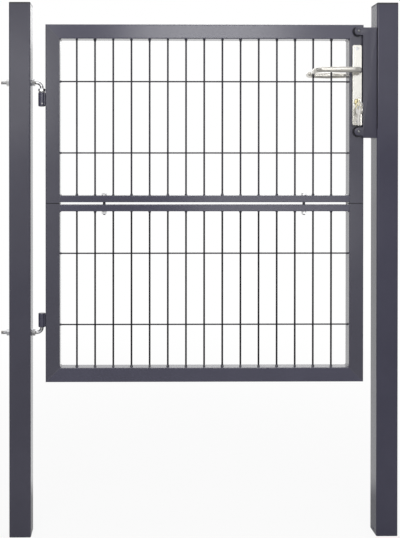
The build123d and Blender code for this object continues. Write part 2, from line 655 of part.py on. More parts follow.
def upper_lock_stile():
    body = stile(1, 1)
    half_window = CASE_THICKNESS / 2 + CASE_WINDOW_ROOM
    window_x = (LEAF_RIGHT - FRAME_WALL - OVERCUT, LEAF_RIGHT + OVERCUT)
    heights = (CASE_FOOT - CASE_WINDOW_ROOM, CASE_TOP + CASE_WINDOW_ROOM)
    body -= block(window_x, (-half_window, half_window), heights)
    through = (-LEAF_FACE - OVERCUT, LEAF_FACE + OVERCUT)
    body -= front_prism(Circle(FOLLOWER_JOURNAL / 2), LOCK_X, SPINDLE_Z, through)
    body -= front_prism(profile_outline(CYLINDER_CUT_ROOM), LOCK_X, CYLINDER_Z, through)
    for height in PLATE_SCREW_HEIGHTS:
        hole = Circle((SLEEVE_NUT + SCREW_HOLE_ROOM) / 2)
        body -= front_prism(hole, LOCK_X, height, through)
    for height in faceplate_screw_heights():
        start = (window_x[0], 0, height)
        body -= rod(start, ALONG_X, FRAME_WALL + 2 * OVERCUT, FACEPLATE_SCREW + 2 * THREAD_FIT)
    return body


# Lock case, cover and faceplate

def case_openings(depths):
    """Bearing of the follower and passage of the cylinder through a wall of the case."""
    bearing = Circle(FOLLOWER_JOURNAL / 2 + PIN_CLEARANCE)
    holes = front_prism(bearing, LOCK_X, SPINDLE_Z, depths)
    return holes + front_prism(profile_outline(CYLINDER_CUT_ROOM), LOCK_X, CYLINDER_Z, depths)


def lock_case():
    """Folded tray, open to the front and to the faceplate."""
    half = CASE_THICKNESS / 2
    tray = block((CASE_LEFT, LEAF_RIGHT), (CASE_WALL - half, half), (CASE_FOOT, CASE_TOP))
    tray -= block((CASE_LEFT + CASE_WALL, LEAF_RIGHT + OVERCUT), (-half, half - CASE_WALL),
                  (CASE_FOOT + CASE_WALL, CASE_TOP - CASE_WALL))
    return tray - case_openings((0, half + OVERCUT))


def lock_case_cover():
    half = CASE_THICKNESS / 2
    lid = block((CASE_LEFT, LEAF_RIGHT), (-half, CASE_WALL - half), (CASE_FOOT, CASE_TOP))
    return lid - case_openings((-half - OVERCUT, 0))


def faceplate_range():
    return CASE_FOOT - FACEPLATE_MARGIN, CASE_TOP + FACEPLATE_MARGIN


def faceplate_screw_heights():
    low, high = faceplate_range()
    return (low + FACEPLATE_SCREW_INSET, high - FACEPLATE_SCREW_INSET)


def countersunk_screw(x, z, head, thickness, shank, length):
    """Screw along X whose flush conical head ends at the given x."""
    cone = Cone(shank / 2, head / 2, thickness, align=FOOT)
    body = Pos(x - thickness, 0, z) * ALONG_X * cone
    return body + rod((x - length, 0, z), ALONG_X, length - thickness, shank)


def faceplate_screw(z, room=0.0):
    depth = (FACEPLATE_SCREW_HEAD - FACEPLATE_SCREW) / 2
    return countersunk_screw(FACEPLATE_RIGHT, z, FACEPLATE_SCREW_HEAD + 2 * room, depth,
                             FACEPLATE_SCREW + 2 * room, FACEPLATE_SCREW_LENGTH)


def cylinder_screw(room=0.0):
    length = FACEPLATE_RIGHT - LOCK_X
    return countersunk_screw(FACEPLATE_RIGHT, CYLINDER_Z - CYLINDER_SCREW_DROP,
                             CYLINDER_SCREW_HEAD + 2 * room, CYLINDER_SCREW_HEAD_HEIGHT,
                             CYLINDER_SCREW + 2 * room, length)


def lock_faceplate():
    low, high = faceplate_range()
    half = FACEPLATE_WIDTH / 2
    plate = block((LEAF_RIGHT, FACEPLATE_RIGHT), (-half, half), (low, high))
    window_x = (LEAF_RIGHT - OVERCUT, FACEPLATE_RIGHT + OVERCUT)
    slot_half = BOLT_THICKNESS / 2 + SLIDE_FIT
    for middle, height in ((LATCH_Z, LATCH_HEIGHT), (DEAD_BOLT_Z, DEAD_BOLT_HEIGHT)):
        reach = height / 2 + SLIDE_FIT
        plate -= block(window_x, (-slot_half, slot_half), (middle - reach, middle + reach))
    for height in faceplate_screw_heights():
        plate -= faceplate_screw(height, THREAD_FIT)
    return plate - cylinder_screw(THREAD_FIT)


# Latch, its spring and the dead bolt

LATCH_BACK = LEAF_RIGHT - LATCH_SHANK
ARM_TIP_X = LOCK_X + FOLLOWER_ARM_REACH * sin(radians(FOLLOWER_ARM_LEAN))


def latch_bolt():
    """Latch with a slant on the closing side and a notched lug that the follower's arm drives."""
    half = BOLT_THICKNESS / 2
    tip = FACEPLATE_RIGHT + LATCH_REACH
    outline = Polygon((LATCH_BACK, -half), (FACEPLATE_RIGHT, -half), (tip, half - LATCH_TIP),
                      (tip, half), (LATCH_BACK, half), align=None)
    foot = LATCH_Z - LATCH_HEIGHT / 2
    head = Pos(0, 0, foot) * extrude(outline, LATCH_HEIGHT)
    lug_x = (LEAF_RIGHT - LATCH_LUG_BACK, LEAF_RIGHT - LATCH_LUG_BACK + LATCH_LUG_LENGTH)
    head += block(lug_x, (-half, half), (foot - LATCH_LUG_DROP, foot + LATCH_LUG_DROP))
    notch_half = FOLLOWER_ARM_WIDTH / 2 + FOLLOWER_NOTCH_ROOM
    notch_top = SPINDLE_Z + FOLLOWER_ARM_REACH + notch_half
    notch_x = (ARM_TIP_X - notch_half, ARM_TIP_X + notch_half)
    return head - block(notch_x, (-half - OVERCUT, half + OVERCUT), (SPINDLE_Z, notch_top))


def latch_spring():
    """Room of the coil spring between the back of the case and the latch, as a plain sleeve."""
    start_x = CASE_LEFT + CASE_WALL + SPRING_SEAT_ROOM
    length = LATCH_BACK - SPRING_SEAT_ROOM - start_x
    height = LATCH_Z + LATCH_HEIGHT / 2 - SPRING_DIAMETER / 2
    sleeve = rod((start_x, 0, height), ALONG_X, length, SPRING_DIAMETER)
    bore = SPRING_DIAMETER - 2 * SPRING_WIRE
    return sleeve - rod((start_x - OVERCUT, 0, height), ALONG_X, length + 2 * OVERCUT, bore)


def dead_bolt():
    half = BOLT_THICKNESS / 2
    tip = FACEPLATE_RIGHT - DEAD_BOLT_SHY
    reach = DEAD_BOLT_HEIGHT / 2
    return block((tip - DEAD_BOLT_LENGTH, tip), (-half, half), (DEAD_BOLT_Z - reach, DEAD_BOLT_Z + reach))


# Follower, spindle and levers

def follower():
    inner = CASE_THICKNESS / 2 - CASE_WALL - FOLLOWER_SIDE_ROOM
    outer = CASE_THICKNESS / 2
    body = front_prism(Circle(FOLLOWER_HUB / 2), LOCK_X, SPINDLE_Z, (-inner, inner))
    body += front_prism(Circle(FOLLOWER_JOURNAL / 2), LOCK_X, SPINDLE_Z, (-outer, outer))
    arm_half = FOLLOWER_ARM_WIDTH / 2
    arm = Pos(0, FOLLOWER_ARM_REACH / 2) * Rectangle(FOLLOWER_ARM_WIDTH, FOLLOWER_ARM_REACH)
    arm += Pos(0, FOLLOWER_ARM_REACH) * Circle(arm_half)
    leaning = Rot(0, 0, -FOLLOWER_ARM_LEAN) * arm
    body += front_prism(leaning, LOCK_X, SPINDLE_Z, (-arm_half, arm_half))
    side = SPINDLE + 2 * SPINDLE_FIT
    square = Rectangle(side, side)
    return body - front_prism(square, LOCK_X, SPINDLE_Z, (-outer - OVERCUT, outer + OVERCUT))


SOCKET_END = PLATE_FRONT - LEVER_SOCKET_DEPTH


def spindle():
    end = -SOCKET_END - SPINDLE_END_ROOM
    return front_prism(Rectangle(SPINDLE, SPINDLE), LOCK_X, SPINDLE_Z, (-end, end))


GRUB_Y = PLATE_FRONT - LEVER_PLATE_ROOM - GRUB_SCREW_OUT
GRUB_FOOT = SPINDLE_Z - LEVER_BAR_HEIGHT / 2


def front_lever():
    """Bent bar with a return end: journal in the backplate, collar, neck and grip."""
    journal_end = -LEAF_FACE - LEVER_PLATE_ROOM
    body = front_prism(Circle(LEVER_JOURNAL / 2), LOCK_X, SPINDLE_Z, (PLATE_FRONT - OVERCUT, journal_end))
    collar_back = PLATE_FRONT - LEVER_PLATE_ROOM
    collar = (collar_back - LEVER_COLLAR_THICKNESS, collar_back)
    body += front_prism(Circle(LEVER_COLLAR / 2), LOCK_X, SPINDLE_Z, collar)
    end_x = LOCK_X - LEVER_LENGTH + LEVER_BAR_DEPTH / 2
    neck_start = Vector(LOCK_X, collar_back, SPINDLE_Z)
    neck_end = Vector(LOCK_X, LEVER_Y + LEVER_NECK_BEND, SPINDLE_Z)
    grip_start = Vector(LOCK_X - LEVER_NECK_BEND, LEVER_Y, SPINDLE_Z)
    grip_end = Vector(end_x + LEVER_RETURN_BEND, LEVER_Y, SPINDLE_Z)
    return_start = Vector(end_x, LEVER_Y + LEVER_RETURN_BEND, SPINDLE_Z)
    return_end = Vector(end_x, LEVER_Y + LEVER_RETURN, SPINDLE_Z)
    path = Line(neck_start, neck_end)
    path += TangentArc(neck_end, grip_start, tangent=(0, -1, 0))
    path += Line(grip_start, grip_end)
    path += TangentArc(grip_end, return_start, tangent=(-1, 0, 0))
    path += Line(return_start, return_end)
    section = Plane(origin=neck_start, x_dir=(1, 0, 0), z_dir=(0, -1, 0))
    bar = sweep(section * Ellipse(LEVER_BAR_DEPTH / 2, LEVER_BAR_HEIGHT / 2), path=path)
    tip = bar.faces().filter_by(Axis.Y).sort_by_distance(return_end)[0]
    body += fillet(tip.edges(), LEVER_END_ROUND)
    side = SPINDLE + 2 * SPINDLE_FIT
    body -= front_prism(Rectangle(side, side), LOCK_X, SPINDLE_Z, (SOCKET_END, 0))
    grub_length = SPINDLE_Z - GRUB_FOOT
    start = (LOCK_X, GRUB_Y, GRUB_FOOT - OVERCUT)
    return body - rod(start, UPRIGHT, grub_length + OVERCUT, GRUB_SCREW + 2 * THREAD_FIT)


def lever_grub_screw():
    top = SPINDLE_Z - SPINDLE / 2
    return rod((LOCK_X, GRUB_Y, GRUB_FOOT + OVERCUT), UPRIGHT, top - GRUB_FOOT - OVERCUT, GRUB_SCREW)


def to_rear(piece):
    """The same piece on the rear face of the leaf."""
    return mirror(piece, about=Plane.XZ)


# Backplates with their through screws

def plain_backplate():
    outline = RectangleRounded(PLATE_WIDTH, PLATE_LENGTH, PLATE_CORNER)
    middle = (PLATE_TOP + PLATE_FOOT) / 2
    plate = front_prism(outline, LOCK_X, middle, (PLATE_FRONT, -LEAF_FACE))
    front_face = plate.faces().sort_by(Axis.Y)[0]
    plate = fillet(front_face.edges(), PLATE_EDGE)
    through = (PLATE_FRONT - OVERCUT, -LEAF_FACE + OVERCUT)
    bearing = Circle(LEVER_JOURNAL / 2 + PIN_CLEARANCE)
    plate -= front_prism(bearing, LOCK_X, SPINDLE_Z, through)
    return plate - front_prism(profile_outline(CYLINDER_CUT_ROOM), LOCK_X, CYLINDER_Z, through)


def front_backplate():
    plate = plain_backplate()
    for height in PLATE_SCREW_HEIGHTS:
        plate -= backplate_screw(height, THREAD_FIT)
    return plate


def rear_backplate():
    plate = to_rear(plain_backplate())
    for height in PLATE_SCREW_HEIGHTS:
        plate -= backplate_sleeve_nut_body(height, THREAD_FIT)
    return plate


def backplate_screw(z, room=0.0):
    """Screw with a sunk head in the front plate, down into the sleeve nut."""
    head_back = PLATE_FRONT + PLATE_SCREW_HEAD_HEIGHT
    head = front_prism(Circle(PLATE_SCREW_HEAD / 2 + room), LOCK_X, z, (PLATE_FRONT, head_back))
    end = -PLATE_FRONT - SLEEVE_NUT_LENGTH / 2
    return head + front_prism(Circle(PLATE_SCREW / 2 + room), LOCK_X, z, (head_back, end))


def backplate_sleeve_nut_body(z, room=0.0):
    rear = -PLATE_FRONT
    head_depths = (rear - PLATE_SCREW_HEAD_HEIGHT, rear)
    head = front_prism(Circle(PLATE_SCREW_HEAD / 2 + room), LOCK_X, z, head_depths)
    depths = (rear - SLEEVE_NUT_LENGTH, rear - PLATE_SCREW_HEAD_HEIGHT)
    return head + front_prism(Circle(SLEEVE_NUT / 2 + room), LOCK_X, z, depths)


def backplate_sleeve_nut(z):
    rear = -PLATE_FRONT
    bore = Circle(PLATE_SCREW / 2 + THREAD_FIT)
    depths = (rear - SLEEVE_NUT_LENGTH - OVERCUT, rear - PLATE_SCREW_HEAD_HEIGHT)
    return backplate_sleeve_nut_body(z) - front_prism(bore, LOCK_X, z, depths)


# Profile cylinder, plugs, cam and keys

CAM_HALF = CAM_WIDTH / 2 + CAM_SIDE_ROOM


def cylinder_body():
    rear = -CYLINDER_FRONT
    body = front_prism(profile_outline(), LOCK_X, CYLINDER_Z, (CYLINDER_FRONT, rear))
    bore = Circle(CYLINDER_PLUG / 2 + PLUG_TURN_FIT)
    body -= front_prism(bore, LOCK_X, CYLINDER_Z, (CYLINDER_FRONT - OVERCUT, rear + OVERCUT))
    reach = CAM_REACH + CAM_SIDE_ROOM
    cam_x = (LOCK_X - reach, LOCK_X + reach)
    body -= block(cam_x, (-CAM_HALF, CAM_HALF), (CYLINDER_Z - reach, CYLINDER_Z + reach))
    return body - cylinder_screw(THREAD_FIT)


def cylinder_plug():
    """Front plug with a tail that carries the cam, and a slot for the key's blade."""
    plug = front_prism(Circle(CYLINDER_PLUG / 2), LOCK_X, CYLINDER_Z, (CYLINDER_FRONT, -CAM_HALF))
    plug += front_prism(Circle(PLUG_TAIL / 2), LOCK_X, CYLINDER_Z, (-CAM_HALF, CAM_HALF))
    width = KEY_THICKNESS + 2 * KEY_SLOT_ROOM
    height = KEY_BLADE_HEIGHT + 2 * KEY_SLOT_ROOM
    slot_end = CYLINDER_FRONT + KEY_BLADE_LENGTH + KEY_SLOT_ROOM
    slot = Rectangle(width, height)
    return plug - front_prism(slot, LOCK_X, CYLINDER_Z, (CYLINDER_FRONT - OVERCUT, slot_end))


def rear_cylinder_plug():
    plug = front_prism(Circle(CYLINDER_PLUG / 2), LOCK_X, CYLINDER_Z, (CAM_HALF, -CYLINDER_FRONT))
    slot = Rectangle(KEY_THICKNESS + 2 * KEY_SLOT_ROOM, KEY_BLADE_HEIGHT + 2 * KEY_SLOT_ROOM)
    slot_end = -CYLINDER_FRONT - KEY_BLADE_LENGTH
    return plug - front_prism(slot, LOCK_X, CYLINDER_Z, (slot_end, -CYLINDER_FRONT + OVERCUT))


def cylinder_cam():
    half = CAM_WIDTH / 2
    nose_end = CAM_REACH - CAM_NOSE / 2
    nose = Pos(0, -nose_end / 2) * Rectangle(CAM_NOSE, nose_end) + Pos(0, -nose_end) * Circle(CAM_NOSE / 2)
    outline = Circle(CAM_RING / 2) + nose - Circle(PLUG_TAIL / 2 + THREAD_FIT)
    return front_prism(outline, LOCK_X, CYLINDER_Z, (-half, half))


def flat_key(length):
    """Key lying in its own XY plane: round bow about the origin, blade along +Y."""
    bow = Circle(KEY_BOW / 2)
    reach = KEY_BOW / 2 + length
    outline = bow + Pos(0, reach / 2) * Rectangle(KEY_BLADE_HEIGHT, reach)
    hole_y = KEY_HOLE_FROM_EDGE - KEY_BOW / 2
    outline -= Pos(0, hole_y) * Circle(KEY_HOLE / 2)
    body = extrude(outline, KEY_THICKNESS / 2, both=True)
    tip = body.edges().filter_by(Axis.Z).group_by(Axis.Y)[-1]
    return chamfer(tip, KEY_BLADE_HEIGHT / 4)


def inserted_key():
    """Key in the front plug, its bow upright in front of the backplate."""
    turned = Plane(origin=(LOCK_X, KEY_BOW_Y, CYLINDER_Z), x_dir=(0, 0, -1), z_dir=(1, 0, 0))
    return turned * flat_key(KEY_SHANK + KEY_BLADE_LENGTH)


def key_ring():
    plane = Plane(origin=(LOCK_X, KEY_HOLE_Y, RING_Z), x_dir=(1, 0, 0), z_dir=(0, -1, 0))
    return plane * Torus(RING_RADIUS, RING_WIRE / 2)


def spare_key(side):
    """Key that hangs from the lower part of the ring, to one side of its lowest point."""
    angle = radians(SPARE_KEY_SPREAD)
    ring_point = (LOCK_X + side * RING_RADIUS * sin(angle), KEY_HOLE_Y, RING_Z - RING_RADIUS * cos(angle))
    hole_centre = KEY_BOW / 2 - KEY_HOLE_FROM_EDGE
    length = SPARE_KEY_LENGTH - KEY_BOW
    hang = Plane(origin=(0, 0, 0), x_dir=(0, 1, 0), z_dir=(-1, 0, 0))
    hung = hang * Pos(0, hole_centre, 0) * flat_key(length)
    turn = LEFT_KEY_TURN if side < 0 else RIGHT_KEY_TURN
    drop = (KEY_HOLE - RING_WIRE) / 2 - SPARE_KEY_REST
    return Pos(*ring_point) * Pos(0, 0, -drop) * Rot(0, 0, turn) * hung


def pieces():
    """Every node's name with its solids."""
    sides = (UPPER_HOOK_Z, LOWER_HOOK_Z)
    bolts = coupling_places()
    washers = (UPPER_WASHER_Z, LOWER_WASHER_Z)
    lever = front_lever()
    grub = lever_grub_screw()
    return {
        "hinge_post": [hinge_post()],
        "latch_post": [latch_post()],
        "hinge_post_cap": [post_cap(-1)],
        "latch_post_cap": [post_cap(1)],
        "upper_hinge_hook": [hinge_hook(UPPER_HOOK_Z, -1, UPPER_PIN_END)],
        "lower_hinge_hook": [hinge_hook(LOWER_HOOK_Z, 1, LOWER_PIN_END)],
        "hinge_nuts": [hinge_nut(x, z) for x in hinge_nut_places() for z in sides],
        "hinge_washers": [hinge_washer(x, z) for x in hinge_washer_places() for z in sides],
        "upper_pin_nut": [upper_pin_nut()],
        "strike_plate": [strike_plate()],
        "strike_channel": [strike_channel()],
        "strike_screws": [strike_screw(z) for z in STRIKE_SCREW_HEIGHTS],
        "strike_rivet_nuts": [strike_rivet_nut(z) for z in STRIKE_SCREW_HEIGHTS],
        "stop_buffers": [stop_buffer(z) for z in TAB_HEIGHTS],
        "stop_buffer_screws": [stop_buffer_screw(z) for z in TAB_HEIGHTS],
        "top_rail": [outer_rail(1)],
        "upper_hinge_stile": [stile(-1, 1)],
        "upper_lock_stile": [upper_lock_stile()],
        "upper_mid_rail": [mid_rail(1)],
        "lower_mid_rail": [mid_rail(-1)],
        "lower_hinge_stile": [stile(-1, -1)],
        "lower_lock_stile": [stile(1, -1)],
        "bottom_rail": [outer_rail(-1)],
        "upper_vertical_wires": vertical_wires(1),
        "upper_horizontal_wires": horizontal_wires(1),
        "lower_vertical_wires": vertical_wires(-1),
        "lower_horizontal_wires": horizontal_wires(-1),
        "stile_joint_plugs": joint_plugs(),
        "coupling_bolts": [coupling_bolt(x) for x in bolts],
        "coupling_nuts": [coupling_nut(x) for x in bolts],
        "coupling_washers": [coupling_washer(x, z) for x in bolts for z in washers],
        "upper_hinge_barrel": [upper_barrel()],
        "lower_hinge_barrel": [lower_barrel()],
        "upper_hinge_bush": [upper_bush()],
        "lower_hinge_bush": [lower_bush()],
        "lock_case": [lock_case()],
        "lock_case_cover": [lock_case_cover()],
        "lock_faceplate": [lock_faceplate()],
        "faceplate_screws": [faceplate_screw(z) for z in faceplate_screw_heights()],
        "front_backplate": [front_backplate()],
        "rear_backplate": [rear_backplate()],
        "backplate_screws": [backplate_screw(z) for z in PLATE_SCREW_HEIGHTS],
        "backplate_sleeve_nuts": [backplate_sleeve_nut(z) for z in PLATE_SCREW_HEIGHTS],
        "cylinder_body": [cylinder_body()],
        "rear_cylinder_plug": [rear_cylinder_plug()],
        "cylinder_screw": [cylinder_screw()],
        "latch_spring": [latch_spring()],
        "front_lever": [lever],
        "rear_lever": [to_rear(lever)],
        "spindle": [spindle()],
        "follower": [follower()],
        "lever_grub_screws": [grub, to_rear(grub)],
        "latch_bolt": [latch_bolt()],
        "dead_bolt": [dead_bolt()],
        "cylinder_plug": [cylinder_plug()],
        "cylinder_cam": [cylinder_cam()],
        "key": [inserted_key()],
        "key_ring": [key_ring()],
        "spare_keys": [spare_key(-1), spare_key(1)],
    }


os.makedirs("parts", exist_ok=True)
for name, shapes in pieces().items():
    solids = [solid for shape in shapes for solid in shape.solids()]
    export_step(Compound(solids), f"parts/{name}.step")
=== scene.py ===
from math import atan2, cos, floor, pi, radians, sin, tan, tau

import bmesh
import bpy
from mathutils import Matrix, Vector


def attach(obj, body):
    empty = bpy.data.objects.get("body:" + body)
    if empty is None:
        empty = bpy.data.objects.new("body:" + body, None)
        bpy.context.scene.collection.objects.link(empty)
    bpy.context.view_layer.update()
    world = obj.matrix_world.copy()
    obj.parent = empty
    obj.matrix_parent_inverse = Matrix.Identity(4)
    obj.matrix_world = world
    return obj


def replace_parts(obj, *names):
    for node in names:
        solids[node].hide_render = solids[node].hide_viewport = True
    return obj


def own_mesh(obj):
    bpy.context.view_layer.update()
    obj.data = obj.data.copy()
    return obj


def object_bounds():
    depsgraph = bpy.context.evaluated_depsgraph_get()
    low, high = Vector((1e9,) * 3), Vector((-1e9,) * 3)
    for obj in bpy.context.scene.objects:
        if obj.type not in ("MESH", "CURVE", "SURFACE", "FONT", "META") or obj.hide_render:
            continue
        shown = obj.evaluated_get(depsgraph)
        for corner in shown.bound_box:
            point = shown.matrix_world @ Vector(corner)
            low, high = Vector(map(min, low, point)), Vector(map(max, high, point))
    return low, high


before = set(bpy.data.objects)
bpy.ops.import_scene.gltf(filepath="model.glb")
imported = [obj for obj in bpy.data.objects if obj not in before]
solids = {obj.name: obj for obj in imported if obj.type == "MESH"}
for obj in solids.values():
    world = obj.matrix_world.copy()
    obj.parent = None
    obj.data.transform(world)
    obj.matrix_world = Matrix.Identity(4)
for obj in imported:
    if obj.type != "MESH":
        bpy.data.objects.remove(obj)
cad_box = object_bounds()


# Posts: two lengths of 60 mm square steel tube, drilled for the hinge hooks and
# for the strike's rivet nuts. They are powder coated in anthracite before anything
# is fitted, which leaves an even semi-gloss skin with a fine orange peel.

class Shade:
    """One socket of a finish. Arithmetic on it adds Math nodes, and node() adds any other node."""

    def __init__(self, tree, socket=None):
        self.tree = tree
        self.socket = socket

    def node(self, kind, settings, sockets, output=0):
        made = self.tree.nodes.new("ShaderNode" + kind)
        for key, value in settings.items():
            setattr(made, key, value)
        for key, value in sockets.items():
            if isinstance(value, Shade):
                self.tree.links.new(value.socket, made.inputs[key])
            else:
                made.inputs[key].default_value = value
        return Shade(self.tree, made.outputs[output])

    def maths(self, operation, first, second):
        return self.node("Math", {"operation": operation}, {0: first, 1: second})

    def __add__(self, other):
        return self.maths("ADD", self, other)

    def __sub__(self, other):
        return self.maths("SUBTRACT", self, other)

    def __rsub__(self, other):
        return self.maths("SUBTRACT", other, self)

    def __mul__(self, other):
        return self.maths("MULTIPLY", self, other)

    def place(self):
        """Where a point lies on the object, in metres."""
        return self.node("TexCoord", {}, {}, "Object")

    def noise(self, place, scale, detail):
        return self.node("TexNoise", {}, {"Vector": place, "Scale": scale, "Detail": detail})

    def lines(self, place, stretch, detail):
        """Noise drawn out into fine lines."""
        return self.noise(self.node("Mapping", {}, {"Vector": place, "Scale": stretch}), 1.0, detail)

    def along(self, axis):
        """One coordinate of this vector."""
        return self.node("SeparateXYZ", {}, {0: self}, axis)

    def step(self, low, high):
        """0 below the low value, 1 above the high one, with an eased change between."""
        limits = {"Value": self, "From Min": low, "From Max": high}
        return self.node("MapRange", {"interpolation_type": "SMOOTHSTEP"}, limits)

    def tint(self, first, second):
        """The first colour where this value is 0, the second where it is 1."""
        return self.node("Mix", {"data_type": "RGBA"}, {0: self, 6: first, 7: second}, 2)

    def bump(self, strength, depth):
        return self.node("Bump", {}, {"Height": self, "Strength": strength, "Distance": depth})


def finish(name, even):
    """A new material: its even qualities are set on the shader, the rest is laid on later."""
    material = bpy.data.materials.new(name)
    material.use_nodes = True
    shader = material.node_tree.nodes["Principled BSDF"]
    for key, value in even.items():
        shader.inputs[key].default_value = value
    return material, Shade(material.node_tree)


def lay(material, varying):
    """Links what changes over the surface to the material's shader."""
    shader = material.node_tree.nodes["Principled BSDF"]
    for key, shade in varying.items():
        material.node_tree.links.new(shade.socket, shader.inputs[key])
    return material


def powder_coat(name, light, dark, skin=1.0, dullness=0.14, lines=()):
    """Baked powder: two close tones, orange peel, a clear skin, a little dust on what faces up.

    A line is a dark band without the clear skin: the axis across it, its place there, half its width
    and its lowest and highest point, in metres. At the stile joint it marks the seam between the
    halves; beside the strike it is painted shade in the groove."""
    dust_grey = (0.32, 0.31, 0.30, 1)
    joint_and_shade_black = (0.006, 0.006, 0.008, 1)
    gap_fade = 0.001
    material, shade = finish(name, {"IOR": 1.32, "Coat Weight": skin, "Coat Roughness": dullness + 0.06})
    place = shade.place()
    cloud = shade.noise(place, 7.0, 3.0)
    peel = shade.noise(place, 420.0, 1.0)
    grit = shade.noise(place, 1500.0, 2.0)
    facing = shade.node("NewGeometry", {}, {}, "Normal")
    upward = facing.along("Z").step(0.6, 1.0)
    dust = upward * shade.noise(place, 45.0, 4.0).step(0.35, 0.75) * 0.3
    tone = cloud.step(0.3, 0.7).tint(light, dark)
    specked = (grit.step(0.62, 0.75) * 0.25).tint(tone, light)
    colour = dust.tint(specked, dust_grey)
    rough = cloud * 0.08 + peel * 0.04 + dust * 0.5 + dullness
    for across, middle, half, foot, head in lines:
        aside = shade.maths("ABSOLUTE", place.along(across) - middle, 0)
        height = place.along("Z")
        joint_and_shade = (1 - aside.step(half * 0.45, half * 1.55)) * height.step(foot, foot + gap_fade)
        joint_and_shade = joint_and_shade * (1 - height.step(head - gap_fade, head))
        colour = joint_and_shade.tint(colour, joint_and_shade_black)
        rough = rough + joint_and_shade * 0.6
        lay(material, {"Coat Weight": (1 - joint_and_shade) * skin})
    return lay(material, {"Base Color": colour, "Roughness": rough, "Normal": peel.bump(0.07, 0.0003)})


def dress(material, *names):
    """Gives solids that keep their own shape a finish."""
    for name in names:
        coats = solids[name].data.materials
        coats.clear()
        coats.append(material)


# The latch post's coat carries a dark band along the groove beside the strike: painted shade.
STRIKE_GROOVE_SHADE = ("X", 0.4832, 0.0011, 1.138, 1.4205)
# The hinge post's copy of the anthracite coat is lighter and warmer than the latch post's: painted light, for
# the light that side takes from the left.
lit_hinge_post_coat = powder_coat("anthracite_hinge_post_painted_light", (0.072, 0.070, 0.098, 1),
                              (0.064, 0.062, 0.088, 1), skin=0.4)
latch_post_coat_with_groove_shade = powder_coat("anthracite_latch_post_groove_shade", (0.064, 0.062, 0.096, 1),
                              (0.056, 0.054, 0.086, 1), skin=0.4, lines=[STRIKE_GROOVE_SHADE])
dress(lit_hinge_post_coat, "hinge_post")
dress(latch_post_coat_with_groove_shade, "latch_post")


# Post caps: moulded plastic lids with a hollow plug below, pushed into the tops of
# the posts. The plastic is dyed close to the coat and has an even spark-eroded grain.

def moulded_plastic(name, colour, deep):
    """Moulded plastic: an even eroded grain and slightly cloudy tones."""
    material, shade = finish(name, {"IOR": 1.46})
    place = shade.place()
    grain = shade.node("TexVoronoi", {}, {"Vector": place, "Scale": 900.0}, "Distance")
    cloud = shade.noise(place, 30.0, 3.0)
    rough = grain * 0.15 + cloud * 0.12 + 0.38
    tone = cloud.step(0.25, 0.75).tint(colour, deep)
    return lay(material, {"Base Color": tone, "Roughness": rough, "Normal": grain.bump(0.25, 0.0002)})


dyed_plastic = moulded_plastic("dyed_cap_plastic", (0.045, 0.044, 0.052, 1), (0.034, 0.034, 0.042, 1))
dress(dyed_plastic, "hinge_post_cap", "latch_post_cap")


# Half frames: two U-shaped frames of 40 mm square tube, mitred and welded at the
# outer corners, with a flat 40 x 19 mm rail welded across each open end. Sleeves
# inside the stiles line the halves up, and the leaf is coated in one go.

JOINT_HEIGHT = 930.0
STILE_JOINT = ("Z", JOINT_HEIGHT / 1000, 0.0009, 0.92, 0.94)
leaf_coat = powder_coat("anthracite_leaf_coat", (0.076, 0.074, 0.114, 1), (0.068, 0.066, 0.103, 1), skin=0.9)
stile_coat = powder_coat("anthracite_stile_coat", (0.073, 0.071, 0.099, 1), (0.065, 0.063, 0.089, 1),
                         skin=0.9, lines=[STILE_JOINT])
dress(leaf_coat, "top_rail", "upper_mid_rail", "lower_mid_rail", "bottom_rail", "stile_joint_plugs")
dress(stile_coat, "upper_hinge_stile", "upper_lock_stile", "lower_hinge_stile", "lower_lock_stile")

LEAF_LEFT, LEAF_RIGHT = -442.0, 448.0
LEAF_MIDDLE = (LEAF_LEFT + LEAF_RIGHT) / 2
LEAF_FOOT, LEAF_HEAD = 430.0, 1430.0
TUBE = 40.0
FACE = TUBE / 2
RAIL_EDGES = (907.75, 926.75, 933.25, 952.25)


def joined(parts):
    """One shape out of several finished ones, each with the matrix of its place."""
    whole = bmesh.new()
    for part, matrix in parts:
        bmesh.ops.transform(part, matrix=matrix, verts=part.verts)
        loose = bpy.data.meshes.new("loose")
        part.to_mesh(loose)
        part.free()
        whole.from_mesh(loose)
        bpy.data.meshes.remove(loose)
    return whole


def set_piece(name, shape, material, body, crease=35):
    """A shape drawn in millimetres becomes an object that rides on a body."""
    bmesh.ops.scale(shape, vec=(0.001, 0.001, 0.001), verts=shape.verts)
    bmesh.ops.recalc_face_normals(shape, faces=shape.faces)
    for face in shape.faces:
        face.smooth = True
    for edge in shape.edges:
        edge.smooth = edge.calc_face_angle(0.0) < radians(crease)
    mesh = bpy.data.meshes.new(name)
    shape.to_mesh(mesh)
    shape.free()
    mesh.materials.append(material)
    made = bpy.data.objects.new(name, mesh)
    bpy.context.scene.collection.objects.link(made)
    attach(made, body)
    return made


def drawn(section, moves):
    """A bar drawn along its run: each move is a straight with its end's scale, or a bend."""
    shape = bmesh.new()
    ring = bmesh.ops.create_circle(shape, segments=section["sides"], radius=1.0)["verts"]
    bmesh.ops.transform(shape, matrix=section["matrix"], verts=ring)
    last = shape.edges[:]
    for move in moves:
        if "along" in move:
            made = bmesh.ops.extrude_edge_only(shape, edges=last)["geom"]
            corners = [item for item in made if isinstance(item, bmesh.types.BMVert)]
            bmesh.ops.translate(shape, vec=move["along"], verts=corners)
            centre = sum((corner.co for corner in corners), Vector()) / len(corners)
            size = move.get("scale", 1.0)
            bmesh.ops.scale(shape, vec=(size, size, size), space=Matrix.Translation(-centre), verts=corners)
        else:
            ends = {corner for edge in last for corner in edge.verts}
            made = bmesh.ops.spin(shape, geom=list(ends) + last, cent=move["about"], axis=move["axis"],
                                  angle=move["turn"], steps=move["steps"])["geom_last"]
        last = [item for item in made if isinstance(item, bmesh.types.BMEdge)]
        if "along" in move:
            last = [edge for edge in last if all(corner in corners for corner in edge.verts)]
    bmesh.ops.holes_fill(shape, edges=shape.edges[:], sides=0)
    return shape


